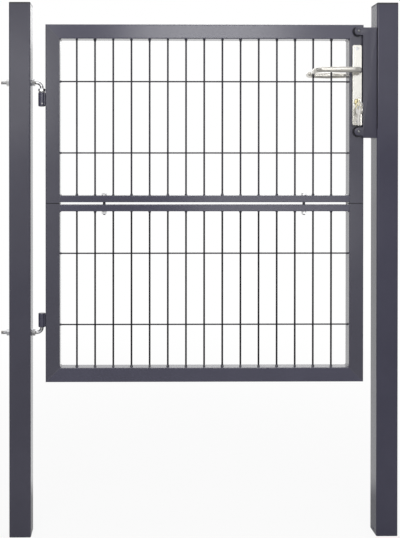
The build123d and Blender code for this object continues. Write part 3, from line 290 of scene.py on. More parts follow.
def bead(start, end, width, proud, facing):
    """A weld bead from start to end: an oval run with ripples and closed, narrowed ends."""
    ripple_length = 4.0
    end_size, swell, waist = 0.45, 2.1, 0.9
    run = Vector(end) - Vector(start)
    along = run.normalized()
    across = along.cross(Vector(facing))
    turned_to = Matrix((across * width / 2, Vector(facing) * proud, along)).transposed().to_4x4()
    matrix = Matrix.Translation(start) @ turned_to @ Matrix.Diagonal((end_size, end_size, 1, 1))
    ripples = max(4, round(run.length / ripple_length))
    pitch = run / (2 * ripples)
    moves = [{"along": pitch, "scale": swell}]
    moves += [{"along": pitch, "scale": waist}, {"along": pitch, "scale": 1 / waist}] * (ripples - 1)
    moves.append({"along": pitch, "scale": end_size})
    return drawn({"sides": 10, "matrix": matrix}, moves), Matrix()


MITRE_BEAD = {"width": 3.6, "proud": 0.35}
CORNER_FILLET = {"width": 8.0, "proud": 3.4}
RAIL_BEAD = {"width": 4.0, "proud": 1.0}
RAIL_FILLET = {"width": 7.5, "proud": 3.2}
SLANT = 0.7071


def frame_welds():
    """Mitre seams on both faces, fillets in the inner corners, and the mid rails' end welds."""
    outer_inset, inner_inset, fillet_inset = 5, 1, 4
    sunk, rail_inset, seam_inset = 0.4, 1.5, 3
    parts = []
    for side, left in ((LEAF_LEFT, 1), (LEAF_RIGHT, -1)):
        inner = side + left * TUBE
        for corner, down in ((LEAF_HEAD, -1), (LEAF_FOOT, 1)):
            under = corner + down * TUBE
            for face in (-1, 1):
                outer_end = (side + left * outer_inset, face * FACE, corner + down * outer_inset)
                inner_end = (inner - left * inner_inset, face * FACE, under - down * inner_inset)
                parts.append(bead(outer_end, inner_end, facing=(0, face, 0), **MITRE_BEAD))
            reach = FACE - fillet_inset
            facing = (left * SLANT, 0, down * SLANT)
            parts.append(bead((inner, -reach, under), (inner, reach, under), facing=facing, **CORNER_FILLET))
        for foot, head in (RAIL_EDGES[:2], RAIL_EDGES[2:]):
            for face in (-1, 1):
                y = face * (FACE - sunk)
                low = (inner, y, foot + rail_inset)
                high = (inner, y, head - rail_inset)
                parts.append(bead(low, high, facing=(0, face, 0), **RAIL_BEAD))
            upper = foot > JOINT_HEIGHT
            seam = head if upper else foot
            reach = FACE - seam_inset
            facing = (left * SLANT, 0, SLANT if upper else -SLANT)
            parts.append(bead((inner, -reach, seam), (inner, reach, seam), facing=facing, **RAIL_FILLET))
    return joined(parts)


# The frame's welds get a lighter copy of the leaf coat: a painted sheen for the light their rounded beads
# catch.
lit_seam_coat = powder_coat("painted_sheen_seam_coat", (0.090, 0.087, 0.119, 1), (0.074, 0.072, 0.101, 1))
set_piece("frame_welds", frame_welds(), lit_seam_coat, "gate", crease=60)


# Wire infill: 5 mm upright wires with 4 mm level wires laid behind them. Each
# crossing is resistance welded, and every end is tacked to the tube it meets,
# which leaves a small skirt of weld under the coat.

wire_coat = powder_coat("dull_wire_coat", (0.034, 0.033, 0.044, 1), (0.028, 0.027, 0.037, 1),
                        skin=0.3, dullness=0.42)
dress(wire_coat, "upper_vertical_wires", "upper_horizontal_wires")
# The lower upright wires get a darker copy of the wire coat: painted shade, for the lower half taking less
# light.
shaded_lower_wire_coat = powder_coat("shaded_lower_wire_coat", (0.012, 0.0115, 0.015, 1), (0.009, 0.009, 0.012, 1),
                             skin=0.0, dullness=0.5)
dress(shaded_lower_wire_coat, "lower_vertical_wires")
dress(wire_coat, "lower_horizontal_wires")
# The welds at the wires and the barrels get a darker copy of the coat: painted shade.
shaded_weld_coat = powder_coat("painted_shade_weld_coat", (0.036, 0.035, 0.052, 1), (0.024, 0.024, 0.036, 1))

WIRE_COUNT = 15
WIRE_PITCH = 51.2
UPRIGHTS = [LEAF_MIDDLE + (i - WIRE_COUNT // 2) * WIRE_PITCH for i in range(WIRE_COUNT)]
UPRIGHT_DEPTH = -2.025
LEVEL_DEPTH = 2.525
CROSSING_DEPTH = 0.5
HALVES = {
    "upper": {"low": RAIL_EDGES[3], "high": LEAF_HEAD - TUBE, "levels": (1272.5, 1071.5)},
    "lower": {"low": LEAF_FOOT + TUBE, "high": RAIL_EDGES[0], "levels": (587.5, 788.5)},
}


def turned(profile, steps, closed=False):
    """A turned shape about Z from its (radius, height) points."""
    shape = bmesh.new()
    points = [shape.verts.new((radius, 0, height)) for radius, height in profile]
    pairs = list(zip(points, points[1:]))
    if closed:
        pairs.append((points[-1], points[0]))
    edges = [shape.edges.new(pair) for pair in pairs]
    bmesh.ops.spin(shape, geom=points + edges, cent=(0, 0, 0), axis=(0, 0, 1), angle=tau, steps=steps,
                   use_merge=True)
    bmesh.ops.remove_doubles(shape, verts=shape.verts, dist=0.0005)
    return shape


def pointing(place, axis):
    """Matrix that stands a shape made along Z at a place, with its Z along the axis."""
    return Matrix.Translation(place) @ Vector(axis).to_track_quat("Z", "Y").to_matrix().to_4x4()


def wire_welds(half):
    """Skirts at the wires' ends, each a little different, and nuggets where wires cross."""
    skirt = [(0, -0.3), (4.7, -0.3), (4.0, 1.2), (3.2, 2.9), (2.75, 4.5), (2.55, 5.8), (0, 5.8)]
    level_skirt = [(0, -0.3), (3.8, -0.3), (3.2, 1.3), (2.6, 3.0), (2.2, 4.6), (2.05, 5.8), (0, 5.8)]
    parts = []
    for i, x in enumerate(UPRIGHTS):
        for end, way in ((half["low"], 1), (half["high"], -1)):
            uneven = Matrix.Diagonal((1 + 0.14 * sin(2.4 * i + way), 1, 1 + 0.12 * sin(1.7 * i), 1))
            parts.append((turned(skirt, 12), pointing((x, UPRIGHT_DEPTH, end), (0, 0, way)) @ uneven))
    for z in half["levels"]:
        for edge, way in ((LEAF_LEFT + TUBE, 1), (LEAF_RIGHT - TUBE, -1)):
            parts.append((turned(level_skirt, 12), pointing((edge, LEVEL_DEPTH, z), (way, 0, 0))))
        for x in UPRIGHTS:
            nugget = bmesh.new()
            bmesh.ops.create_icosphere(nugget, subdivisions=1, radius=2.6)
            bmesh.ops.scale(nugget, vec=(1.25, 0.9, 1.15), verts=nugget.verts)
            parts.append((nugget, Matrix.Translation((x, CROSSING_DEPTH, z))))
    return joined(parts)


for name, half in HALVES.items():
    set_piece(name + "_wire_welds", wire_welds(half), shaded_weld_coat, "gate", crease=60)


# Coupling bolts: two zinc plated M8 hexagon bolts, each with two washers and a nut,
# which draw the two mid rails together. Their shanks get a dark copy of the zinc: painted
# shade for the narrow gap between the rails.

def zinc_plate(name, bright, dull):
    """Bright zinc with a clear passivation: a soft patchy sheen and fine handling scratches."""
    material, shade = finish(name, {"Metallic": 1.0})
    place = shade.place()
    patch = shade.noise(place, 90.0, 3.0)
    fine = shade.noise(place, 1100.0, 2.0)
    lines = shade.lines(place, (300.0, 2500.0, 2500.0), 2.0)
    tone = patch.step(0.3, 0.7).tint(bright, dull)
    rough = patch * 0.16 + lines * 0.12 + fine * 0.06 + 0.12
    return lay(material, {"Base Color": tone, "Roughness": rough, "Normal": lines.bump(0.08, 0.0002)})


zinc = zinc_plate("bright_zinc_plate", (0.74, 0.75, 0.78, 1), (0.58, 0.57, 0.55, 1))
white_zinc = zinc_plate("white_zinc_plate", (0.92, 0.92, 0.93, 1), (0.82, 0.82, 0.82, 1))
# A dark copy of the zinc for the bolt shanks: painted shade in the gap between the mid rails.
shaded_zinc = zinc_plate("painted_shade_zinc", (0.10, 0.10, 0.11, 1), (0.05, 0.05, 0.06, 1))

COUPLING_REACH = 281.6
COUPLING_PLACES = (LEAF_MIDDLE - COUPLING_REACH, LEAF_MIDDLE + COUPLING_REACH)
COUPLING_FLATS = 13.0
COUPLING_WASHER = 1.6
COUPLING_NUT = 6.5
HEAD_SEAT = RAIL_EDGES[3] + COUPLING_WASHER
NUT_MIDDLE = RAIL_EDGES[0] - COUPLING_WASHER - COUPLING_NUT / 2
BOLT_LENGTH = HEAD_SEAT - NUT_MIDDLE + COUPLING_NUT / 2 + 3.0
THREAD_LENGTH = 16.0
CHAMFER = tan(radians(30))


def hexagon(flats):
    """Radius of a hexagon's outline at an angle."""
    return lambda angle: flats / 2 / cos(angle % (pi / 3) - pi / 6)


def brought_to(shape, radius, outline, chamfers=(0, 0)):
    """Brings the ring of that radius to an outline; its upper and lower edges follow a turned chamfer."""
    for corner in shape.verts:
        reach = corner.co.xy.length
        if abs(reach - radius) < 0.01:
            wanted = outline(atan2(corner.co.y, corner.co.x))
            corner.co.xy *= wanted / reach
            upper = corner.co.z > 0
            seat = chamfers[0] if upper else chamfers[1]
            if seat:
                drop = (wanted - seat) * CHAMFER
                corner.co.z += -drop if upper else drop
    return shape


def nut(flats, height, bore):
    """Hexagon nut about its own middle, chamfered on both faces, with a countersunk bore."""
    half = height / 2
    seat = flats * 0.47
    hole = bore / 2
    profile = [(hole, 0.7 - half), (hole, half - 0.7), (hole + 0.7, half), (seat, half), (flats, half),
               (flats, -half), (seat, -half), (hole + 0.7, -half)]
    return brought_to(turned(profile, 48, closed=True), flats, hexagon(flats), (seat, seat))


def washer(across, bore, thickness):
    """Punched washer about its own middle: rounded outer edges and a sharp bore."""
    half = thickness / 2
    ease = thickness / 4
    rim = across / 2
    rolled = [(rim - ease, half), (rim - ease * 0.3, half - ease * 0.3), (rim, half - ease)]
    under = [(radius, -height) for radius, height in reversed(rolled)]
    return turned([(bore / 2, -half), (bore / 2, half)] + rolled + under, 40, closed=True)


def threaded(length, pitch, outer, inner):
    """Stretch of rolled thread along Z from 0, with cut ends that taper in."""
    shape = bmesh.new()
    steps = 14
    profile = ((inner, 0.0), (outer, 0.38), (outer, 0.62), (inner, 1.0))
    points = [shape.verts.new((across / 2, 0, share * pitch)) for across, share in profile]
    edges = [shape.edges.new(pair) for pair in zip(points, points[1:])]
    turns = floor(length / pitch) - 1
    bmesh.ops.spin(shape, geom=points + edges, cent=(0, 0, 0), axis=(0, 0, 1), dvec=(0, 0, pitch / steps),
                   angle=tau * turns, steps=steps * turns)
    bmesh.ops.remove_doubles(shape, verts=shape.verts, dist=pitch / 60)
    rims = [edge for edge in shape.edges if edge.is_boundary]
    bmesh.ops.edgeloop_fill(shape, edges=rims)
    top = (turns + 1) * pitch
    bmesh.ops.scale(shape, vec=(1, 1, length / top), verts=shape.verts)
    for corner in shape.verts:
        from_end = min(corner.co.z, length - corner.co.z)
        most = inner / 2 - 0.4 + from_end
        reach = corner.co.xy.length
        if reach > most:
            corner.co.xy *= most / reach
    return shape


def coupling_bolt():
    """Bolt about the head's underside: chamfered hexagon head above, threaded shank below."""
    flats = COUPLING_FLATS
    seat = flats * 0.47
    high, dished = 5.3, 5.15
    profile = [(0, -0.01), (flats, -0.01), (flats, high), (seat, high), (seat - 0.8, dished), (0, dished)]
    head = turned(profile, 48)
    brought_to(head, flats, hexagon(flats), (seat, 0))
    plain = BOLT_LENGTH - THREAD_LENGTH + 2.0
    shank = turned([(0, 0.5), (3.9, 0.5), (3.9, -plain), (0, -plain)], 24)
    thread = threaded(THREAD_LENGTH, pitch=1.25, outer=7.95, inner=6.6)
    return [(head, Matrix())], [(shank, Matrix()), (thread, Matrix.Translation((0, 0, -BOLT_LENGTH)))]


head_parts = []
shank_parts = []
nut_parts = []
washer_parts = []
for x in COUPLING_PLACES:
    at_head = Matrix.Translation((x, 0, HEAD_SEAT))
    head, shank = coupling_bolt()
    head_parts += [(part, at_head @ matrix) for part, matrix in head]
    shank_parts += [(part, at_head @ matrix) for part, matrix in shank]
    nut_parts.append((nut(COUPLING_FLATS, COUPLING_NUT, bore=8.1), Matrix.Translation((x, 0, NUT_MIDDLE))))
    for z in (HEAD_SEAT - COUPLING_WASHER / 2, RAIL_EDGES[0] - COUPLING_WASHER / 2):
        flat = washer(across=16.0, bore=8.5, thickness=COUPLING_WASHER)
        washer_parts.append((flat, Matrix.Translation((x, 0, z))))
bolt_heads = set_piece("coupling_bolt_heads", joined(head_parts), white_zinc, "gate")
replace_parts(bolt_heads, "coupling_bolts")
bolt_shanks = set_piece("coupling_bolt_shanks", joined(shank_parts), shaded_zinc, "gate")
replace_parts(bolt_shanks, "coupling_bolts")
coupling_nuts = set_piece("coupling_nut_set", joined(nut_parts), white_zinc, "gate")
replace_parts(coupling_nuts, "coupling_nuts")
coupling_washers = set_piece("coupling_washer_set", joined(washer_parts), white_zinc, "gate")
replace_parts(coupling_washers, "coupling_washers")


# Hinge hooks: zinc plated M10 rods through the hinge post, threaded over their
# straight length and bent into a plain pin. A nut and a washer on each side of the
# post set the leaf's place, and a nut on the upper pin stops it being lifted off.

PIN_X = -454.0
HOOK_TAIL = -569.1
HOOK_BEND = 14.0
BEND_START = PIN_X - HOOK_BEND
THREAD_END = BEND_START - 1.0
HOOKS = {
    "upper": {"z": 1268.5, "way": -1, "pin_end": 1207.0},
    "lower": {"z": 566.0, "way": 1, "pin_end": 616.1},
}
PLAIN_RADIUS = 4.98
PIN_CHAMFER, PIN_END_SIZE = 1.2, 0.78
HINGE_NUT = {"flats": 17.0, "height": 8.4, "bore": 10.1}
HINGE_WASHER = {"across": 20.0, "bore": 10.6, "thickness": 2.0}
# Places along the rod, and how many degrees round each nut was left.
HINGE_NUT_TURNS = {-548.7: 11, -476.3: 24}
HINGE_WASHER_PLACES = (-543.5, -481.5)
PIN_NUT_Z = 1248.1


def hinge_hook(z, way, pin_end):
    """Threaded rod along X at height z, bent up or down into a plain pin with a chamfered end."""
    overlap = 0.8
    screw = threaded(THREAD_END - HOOK_TAIL, pitch=1.5, outer=10.0, inner=8.3)
    straight = pin_end - (z + way * HOOK_BEND)
    across = pointing((THREAD_END - overlap, 0, z), (1, 0, 0)) @ Matrix.Scale(PLAIN_RADIUS, 4)
    run = [
        {"along": (BEND_START - THREAD_END + overlap, 0, 0)},
        {"about": (BEND_START, 0, z + way * HOOK_BEND), "axis": (0, -way, 0), "turn": pi / 2, "steps": 10},
        {"along": (0, 0, straight - way * PIN_CHAMFER)},
        {"along": (0, 0, way * PIN_CHAMFER), "scale": PIN_END_SIZE},
    ]
    bent = drawn({"sides": 28, "matrix": across}, run)
    return joined([(screw, pointing((HOOK_TAIL, 0, z), (1, 0, 0))), (bent, Matrix())])


nut_parts = []
washer_parts = []
for name, hook in HOOKS.items():
    hook_name = name + "_hinge_hook"
    rod = set_piece(hook_name + "_rod", hinge_hook(**hook), zinc, "posts")
    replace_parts(rod, hook_name)
    for x, degrees in HINGE_NUT_TURNS.items():
        turn = Matrix.Rotation(radians(degrees), 4, "X")
        matrix = Matrix.Translation((x, 0, hook["z"])) @ turn @ Matrix.Rotation(pi / 2, 4, "Y")
        nut_parts.append((nut(**HINGE_NUT), matrix))
    for x in HINGE_WASHER_PLACES:
        washer_parts.append((washer(**HINGE_WASHER), pointing((x, 0, hook["z"]), (1, 0, 0))))
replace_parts(set_piece("hinge_nut_set", joined(nut_parts), zinc, "posts"), "hinge_nuts")
hinge_washers = set_piece("hinge_washer_set", joined(washer_parts), zinc, "posts")
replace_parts(hinge_washers, "hinge_washers")
pin_nut = joined([(nut(**HINGE_NUT), Matrix.Translation((PIN_X, 0, PIN_NUT_Z)))])
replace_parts(set_piece("pin_nut", pin_nut, zinc, "posts"), "upper_pin_nut")


# Hinge barrels: short round barrels with a flat saddle, welded to the hinge stile and
# coated with it. Their welds get a darker copy of the coat, as painted shade. Nylon bushes
# inside them turn on the pins, and a small set screw keeps the upper bush in place.

def plain_nylon(name, colour, worn):
    """Turned natural nylon: cloudy, with faint tool lines round it."""
    material, shade = finish(name, {"IOR": 1.53, "Subsurface Weight": 0.08})
    place = shade.place()
    cloud = shade.noise(place, 120.0, 3.0)
    turning = shade.lines(place, (150.0, 150.0, 2200.0), 1.0)
    tone = cloud.step(0.3, 0.7).tint(colour, worn)
    rough = turning * 0.2 + 0.35
    return lay(material, {"Base Color": tone, "Roughness": rough, "Normal": turning.bump(0.15, 0.0002)})


dress(leaf_coat, "upper_hinge_barrel", "lower_hinge_barrel")
nylon = plain_nylon("natural_nylon", (0.66, 0.64, 0.58, 1), (0.52, 0.50, 0.45, 1))
dress(nylon, "upper_hinge_bush", "lower_hinge_bush")

BARREL_SPANS = ((1202.0, 1242.0), (581.2, 621.2))


def barrel_welds():
    """A fillet down both sides of each barrel, a little short of its ends."""
    aside, inset = 7.2, 3.0
    x = LEAF_LEFT - 0.3
    parts = []
    for foot, head in BARREL_SPANS:
        for face in (-1, 1):
            low = (x, face * aside, foot + inset)
            high = (x, face * aside, head - inset)
            parts.append(bead(low, high, width=5.0, proud=2.2, facing=(-SLANT, face * SLANT, 0)))
    return joined(parts)


set_piece("barrel_welds", barrel_welds(), shaded_weld_coat, "gate", crease=60)


def recessed_head(radius, height, recess, depth, outline, shank, length):
    """Round headed screw about the head's underside, with a formed recess and a plain shank below."""
    crown = [(radius * cos(angle), height * (0.25 + 0.75 * sin(angle))) for angle in (0, 0.35, 0.7, 1.0)]
    profile = [(0, -length), (shank / 2 - 0.4, -length), (shank / 2, 0.4 - length), (shank / 2, 0)]
    profile += [(radius, 0)] + crown
    profile += [(recess, height), (recess, height - depth), (0, height - depth - 0.25)]
    return brought_to(turned(profile, 48), recess, outline)


set_screw = recessed_head(radius=2.4, height=0.8, recess=1.3, depth=0.7, outline=hexagon(2.0), shank=3.0,
                          length=2.0)
SET_SCREW_SEAT = (PIN_X + 2.0, -9.75, 1209.0)
set_place = pointing(SET_SCREW_SEAT, (0.2, -1, 0))
set_piece("barrel_set_screw", joined([(set_screw, set_place)]), zinc, "gate")


# Strike: a 3 mm sheet folded round the latch post's corner, with two round stop tabs
# in front of the leaf. A slotted channel behind it takes the latch and the bolt. Button
# head screws hold it in rivet nuts, and rubber buffers sit behind the tabs.

def eased(name, width):
    """A copy of a solid, merged, with its sharp edges eased as sheet metal's are."""
    shape = bmesh.new()
    shape.from_mesh(solids[name].data)
    bmesh.ops.scale(shape, vec=(1000, 1000, 1000), verts=shape.verts)
    bmesh.ops.remove_doubles(shape, verts=shape.verts, dist=0.0005)
    bmesh.ops.dissolve_limit(shape, angle_limit=radians(0.5), verts=shape.verts, edges=shape.edges)
    sharp = [edge for edge in shape.edges if edge.calc_face_angle(0.0) > radians(50)]
    bmesh.ops.bevel(shape, geom=sharp, offset=width, offset_type="OFFSET", segments=2, profile=0.5,
                    affect="EDGES", clamp_overlap=True, material=-1)
    return shape


strike_coat = powder_coat("matt_strike_coat", (0.062, 0.060, 0.090, 1), (0.055, 0.053, 0.081, 1),
                          skin=0.4, dullness=0.26)
strike = set_piece("strike_sheet", eased("strike_plate", 0.5), strike_coat, "posts")
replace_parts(strike, "strike_plate")
channel = set_piece("strike_slot_channel", eased("strike_channel", 0.3), strike_coat, "posts")
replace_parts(channel, "strike_channel")
dress(zinc, "strike_rivet_nuts")


def rubber(name, colour, bloom):
    """Moulded rubber: matt, fine pored, with a grey bloom in patches."""
    material, shade = finish(name, {"IOR": 1.52, "Specular IOR Level": 0.3})
    place = shade.place()
    cloud = shade.noise(place, 160.0, 4.0)
    pores = shade.noise(place, 1800.0, 1.0)
    tone = cloud.step(0.3, 0.8).tint(colour, bloom)
    rough = cloud * 0.15 + 0.68
    return lay(material, {"Base Color": tone, "Roughness": rough, "Normal": pores.bump(0.2, 0.0002)})


dress(rubber("black_rubber", (0.020, 0.020, 0.025, 1), (0.033, 0.033, 0.038, 1)), "stop_buffers")

STRIKE_LEG = 479.5
STRIKE_SCREW_HEIGHTS = (1396.5, 1136.7)
TAB_X, TAB_FACE = 431.4, -30.0
# Heights, and how many degrees round each screw was left.
TAB_SCREW_TURNS = {1411.0: 20, 1130.7: 52}

screw_parts = []
for z in STRIKE_SCREW_HEIGHTS:
    button = recessed_head(radius=5.25, height=3.3, recess=2.4, depth=2.0, outline=hexagon(4.0), shank=6.0,
                           length=16.0)
    screw_parts.append((button, pointing((STRIKE_LEG, 0, z), (-1, 0, 0))))
button_screws = set_piece("strike_button_screws", joined(screw_parts), zinc, "posts")
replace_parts(button_screws, "strike_screws")


def cross(arm, waist):
    """Radius of a cross recess at an angle: four narrow arms and a small waist between them."""
    return lambda angle: arm if abs((angle + pi / 4) % (pi / 2) - pi / 4) < radians(12) else waist


dull_zinc = zinc_plate("dull_zinc_plate", (0.42, 0.42, 0.43, 1), (0.32, 0.32, 0.32, 1))

screw_parts = []
for z, degrees in TAB_SCREW_TURNS.items():
    pan = recessed_head(radius=3.5, height=2.4, recess=2.2, depth=1.4, outline=cross(2.2, 0.9), shank=4.0,
                        length=7.4)
    turn = Matrix.Rotation(radians(degrees), 4, "Z")
    screw_parts.append((pan, pointing((TAB_X, TAB_FACE, z), (0, -1, 0)) @ turn))
pan_screws = set_piece("buffer_pan_screws", joined(screw_parts), dull_zinc, "posts")
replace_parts(pan_screws, "stop_buffer_screws")


# Lock: a folded steel case in the lock stile with a steel faceplate screwed to the
# tube's edge. The follower draws the latch against its coil spring, and the
# cylinder's cam throws the dead bolt.

def mill_steel(name, bright, dull):
    """Passivated mechanism steel with a faint oil film."""
    material, shade = finish(name, {"Metallic": 1.0})
    place = shade.place()
    film = shade.noise(place, 60.0, 4.0)
    rolled = shade.lines(place, (900.0, 900.0, 70.0), 2.0)
    tone = film.step(0.3, 0.75).tint(bright, dull)
    rough = film * 0.18 + rolled * 0.12 + 0.2
    return lay(material, {"Base Color": tone, "Roughness": rough, "Normal": rolled.bump(0.06, 0.0002)})


lock_steel = mill_steel("passivated_lock_steel", (0.56, 0.56, 0.58, 1), (0.40, 0.39, 0.38, 1))
dress(lock_steel, "lock_case", "lock_case_cover", "follower", "spindle", "cylinder_cam")
for name, body in (("lock_faceplate", "gate"), ("latch_bolt", "latch"), ("dead_bolt", "deadbolt")):
    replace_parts(set_piece("eased_" + name, eased(name, 0.4), lock_steel, body), name)

SPRING_START, SPRING_END = 413.1, 432.9
SPRING_MIDDLE = 1333.0
SPRING_RADIUS, SPRING_WIRE = 3.0, 1.0
SPRING_TURNS = 6


def latch_spring():
    """Coil of 1 mm wire along X, six turns, with capped ends."""
    shape = bmesh.new()
    wire = bmesh.ops.create_circle(shape, segments=8, radius=SPRING_WIRE / 2)["verts"]
    bmesh.ops.rotate(shape, cent=(0, 0, 0), matrix=Matrix.Rotation(pi / 2, 3, "X"), verts=wire)
    bmesh.ops.translate(shape, vec=(SPRING_RADIUS, 0, SPRING_WIRE / 2), verts=wire)
    steps = 20 * SPRING_TURNS
    pitch = (SPRING_END - SPRING_START - SPRING_WIRE) / steps
    bmesh.ops.spin(shape, geom=wire + shape.edges[:], cent=(0, 0, 0), axis=(0, 0, 1), dvec=(0, 0, pitch),
                   angle=tau * SPRING_TURNS, steps=steps)
    bmesh.ops.holes_fill(shape, edges=shape.edges[:], sides=0)
    return joined([(shape, pointing((SPRING_START, 0, SPRING_MIDDLE), (1, 0, 0)))])


coil = set_piece("latch_coil", latch_spring(), lock_steel, "gate", crease=60)
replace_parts(coil, "latch_spring")
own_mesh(coil)


def sunk_screw(head, thickness, shank, length, outline, recess):
    """Countersunk screw about its flush face, with a formed recess and a plain shank below."""
    profile = [(0, -length), (shank / 2 - 0.5, -length), (shank / 2, 0.6 - length), (shank / 2, -thickness),
               (head / 2, -0.15), (head / 2 - 0.1, 0), (recess, 0), (recess, -1.1), (0, -1.4)]
    return brought_to(turned(profile, 48), recess, outline)


FACEPLATE_X = 451.0
FACEPLATE_SCREW_HEIGHTS = (1155.0, 1365.0)
HOLDING_SCREW_HEIGHT = 1194.5

edge_screws = []
for z in FACEPLATE_SCREW_HEIGHTS:
    screw = sunk_screw(head=7.5, thickness=1.75, shank=4.0, length=9.0, outline=cross(2.3, 0.9), recess=2.3)
    edge_screws.append((screw, pointing((FACEPLATE_X, 0, z), (1, 0, 0))))
edge_screw_set = set_piece("faceplate_sunk_screws", joined(edge_screws), zinc, "gate")
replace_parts(edge_screw_set, "faceplate_screws")
holding_screw = sunk_screw(head=8.0, thickness=2.0, shank=5.0, length=23.0, outline=cross(2.4, 1.0),
                           recess=2.4)
holding_piece = joined([(holding_screw, pointing((FACEPLATE_X, 0, HOLDING_SCREW_HEIGHT), (1, 0, 0)))])
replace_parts(set_piece("cylinder_holding_screw", holding_piece, zinc, "gate"), "cylinder_screw")


# Backplates: long satin aluminium plates on both faces of the lock stile, with a
# rounded edge. Through screws in the front plate run into sleeve nuts in the rear one.

def satin_metal(name, light, deep, grain, dullness=0.12):
    """Brushed metal: fine drawn lines along one direction, a soft even sheen."""
    material, shade = finish(name, {"Metallic": 1.0})
    place = shade.place()
    brushed = shade.lines(place, grain, 3.0)
    haze = shade.noise(place, 35.0, 3.0)
    tone = (brushed * 0.7 + haze * 0.3).step(0.3, 0.7).tint(light, deep)
    rough = brushed * 0.12 + haze * 0.08 + dullness
    return lay(material, {"Base Color": tone, "Roughness": rough, "Normal": brushed.bump(0.03, 0.0002)})


upright_satin = satin_metal("upright_satin_aluminium", (0.81, 0.795, 0.745, 1), (0.73, 0.715, 0.67, 1),
                            (1800.0, 1800.0, 25.0))
dress(upright_satin, "front_backplate", "rear_backplate")

LOCK_X = 428.0
PLATE_FACE = 28.0
# Heights, and how many degrees round each screw was left.
PLATE_SCREW_TURNS = {1361.5: 15, 1158.5: 70}

plate_screws = []
plate_nuts = []
for z, degrees in PLATE_SCREW_TURNS.items():
    screw = sunk_screw(head=9.0, thickness=2.5, shank=5.0, length=46.0, outline=cross(2.6, 1.1), recess=2.6)
    turn = Matrix.Rotation(radians(degrees), 4, "Z")
    plate_screws.append((screw, pointing((LOCK_X, -PLATE_FACE, z), (0, -1, 0)) @ turn))
    outside = [(2.55, -19.9), (3.4, -19.9), (3.4, -2.5), (4.45, -2.5), (4.45, -0.2), (4.2, 0), (0, 0)]
    sleeve = turned(outside + [(0, -2.5), (2.55, -2.5)], 32, closed=True)
    plate_nuts.append((sleeve, pointing((LOCK_X, PLATE_FACE, z), (0, 1, 0))))
sunk_screws = set_piece("plate_sunk_screws", joined(plate_screws), zinc, "gate")
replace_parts(sunk_screws, "backplate_screws")
sleeve_nuts = set_piece("plate_sleeve_nuts", joined(plate_nuts), zinc, "gate")
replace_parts(sleeve_nuts, "backplate_sleeve_nuts")


# Levers: satin aluminium bars of oval section, bent out from a round collar, along the
# leaf, and back towards it at the end. Each is held on the square spindle by a grub screw.

level_satin = satin_metal("level_satin_aluminium", (0.73, 0.71, 0.66, 1), (0.60, 0.58, 0.535, 1),
                          (25.0, 1800.0, 1800.0), dullness=0.20)

SPINDLE_Z = 1298.0
COLLAR_BACK = -28.3
LEVER_Y = -72.0
NECK_BEND = 22.0
RETURN_BEND = 26.0
NECK_SIZE, TIP_SIZE = 0.86, 0.84
BAR_HEIGHT, BAR_DEPTH = 17.0, 13.0
GRIP_END = LOCK_X - 128.0 + BAR_DEPTH / 2
RETURN_END = -24.0
END_ROUND = 4.5


def lever():
    """Front lever: turned journal and collar, and the bent, tapered bar with a rounded end."""
    lap = 1.0
    matrix = Matrix.Translation((LOCK_X, COLLAR_BACK - lap, SPINDLE_Z)) @ Matrix.Rotation(pi / 2, 4, "X")
    oval = Matrix.Diagonal((NECK_SIZE * BAR_DEPTH / 2, NECK_SIZE * BAR_HEIGHT / 2, 1, 1))
    quarter = (GRIP_END + RETURN_BEND - LOCK_X + NECK_BEND) / 4
    run = [
        {"along": (0, LEVER_Y + NECK_BEND - COLLAR_BACK + lap, 0)},
        {"about": (LOCK_X - NECK_BEND, LEVER_Y + NECK_BEND, SPINDLE_Z), "axis": (0, 0, -1), "turn": pi / 2,
         "steps": 16},
        {"along": (quarter, 0, 0), "scale": (1 + NECK_SIZE) / 2 / NECK_SIZE},
        {"along": (quarter, 0, 0), "scale": 2 / (1 + NECK_SIZE)},
        {"along": (quarter, 0, 0), "scale": (1 + TIP_SIZE) / 2},
        {"along": (quarter, 0, 0), "scale": 2 * TIP_SIZE / (1 + TIP_SIZE)},
        {"about": (GRIP_END + RETURN_BEND, LEVER_Y + RETURN_BEND, SPINDLE_Z), "axis": (0, 0, -1),
         "turn": pi / 2, "steps": 16},
        {"along": (0, RETURN_END - END_ROUND - LEVER_Y - RETURN_BEND, 0)},
    ]
    size = 1.0
    rise = 0.0
    for step in (1, 2, 3, 4):
        angle = step * pi / 8
        smaller = 1 - (END_ROUND / (BAR_HEIGHT / 2)) * (1 - cos(angle))
        run.append({"along": (0, END_ROUND * sin(angle) - rise, 0), "scale": smaller / size})
        size = smaller
        rise = END_ROUND * sin(angle)
    bar = drawn({"sides": 36, "matrix": matrix @ oval}, run)
    journal = [(0, -8.0), (8.9, -8.0), (8.9, 0)]
    collar = turned(journal + [(10.2, 0), (10.5, 0.4), (10.5, 3.6), (9.6, 4.5), (0, 4.5)], 48)
    return joined([(bar, Matrix()), (collar, pointing((LOCK_X, COLLAR_BACK, SPINDLE_Z), (0, -1, 0)))])


front_bar = set_piece("front_lever_bar", lever(), level_satin, "handle", crease=40)
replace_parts(front_bar, "front_lever")
rear_shape = lever()
bmesh.ops.scale(rear_shape, vec=(1, -1, 1), verts=rear_shape.verts)
rear_bar = set_piece("rear_lever_bar", rear_shape, level_satin, "handle", crease=40)
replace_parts(rear_bar, "rear_lever")
dress(zinc, "lever_grub_screws")


# Cylinder: a brass profile cylinder through the stile, its round and leg showing in
# the backplates. The front plug holds the key, and a second plug faces the rear.

def cut_brass(name, bright, deep):
    """Machined brass: fine tool lines and a little staining."""
    material, shade = finish(name, {"Metallic": 1.0})
    place = shade.place()
    stain = shade.noise(place, 140.0, 3.0)
    cut = shade.lines(place, (2000.0, 200.0, 2000.0), 2.0)
    tone = stain.step(0.3, 0.7).tint(bright, deep)
    rough = stain * 0.14 + cut * 0.1 + 0.2
    return lay(material, {"Base Color": tone, "Roughness": rough, "Normal": cut.bump(0.06, 0.0002)})


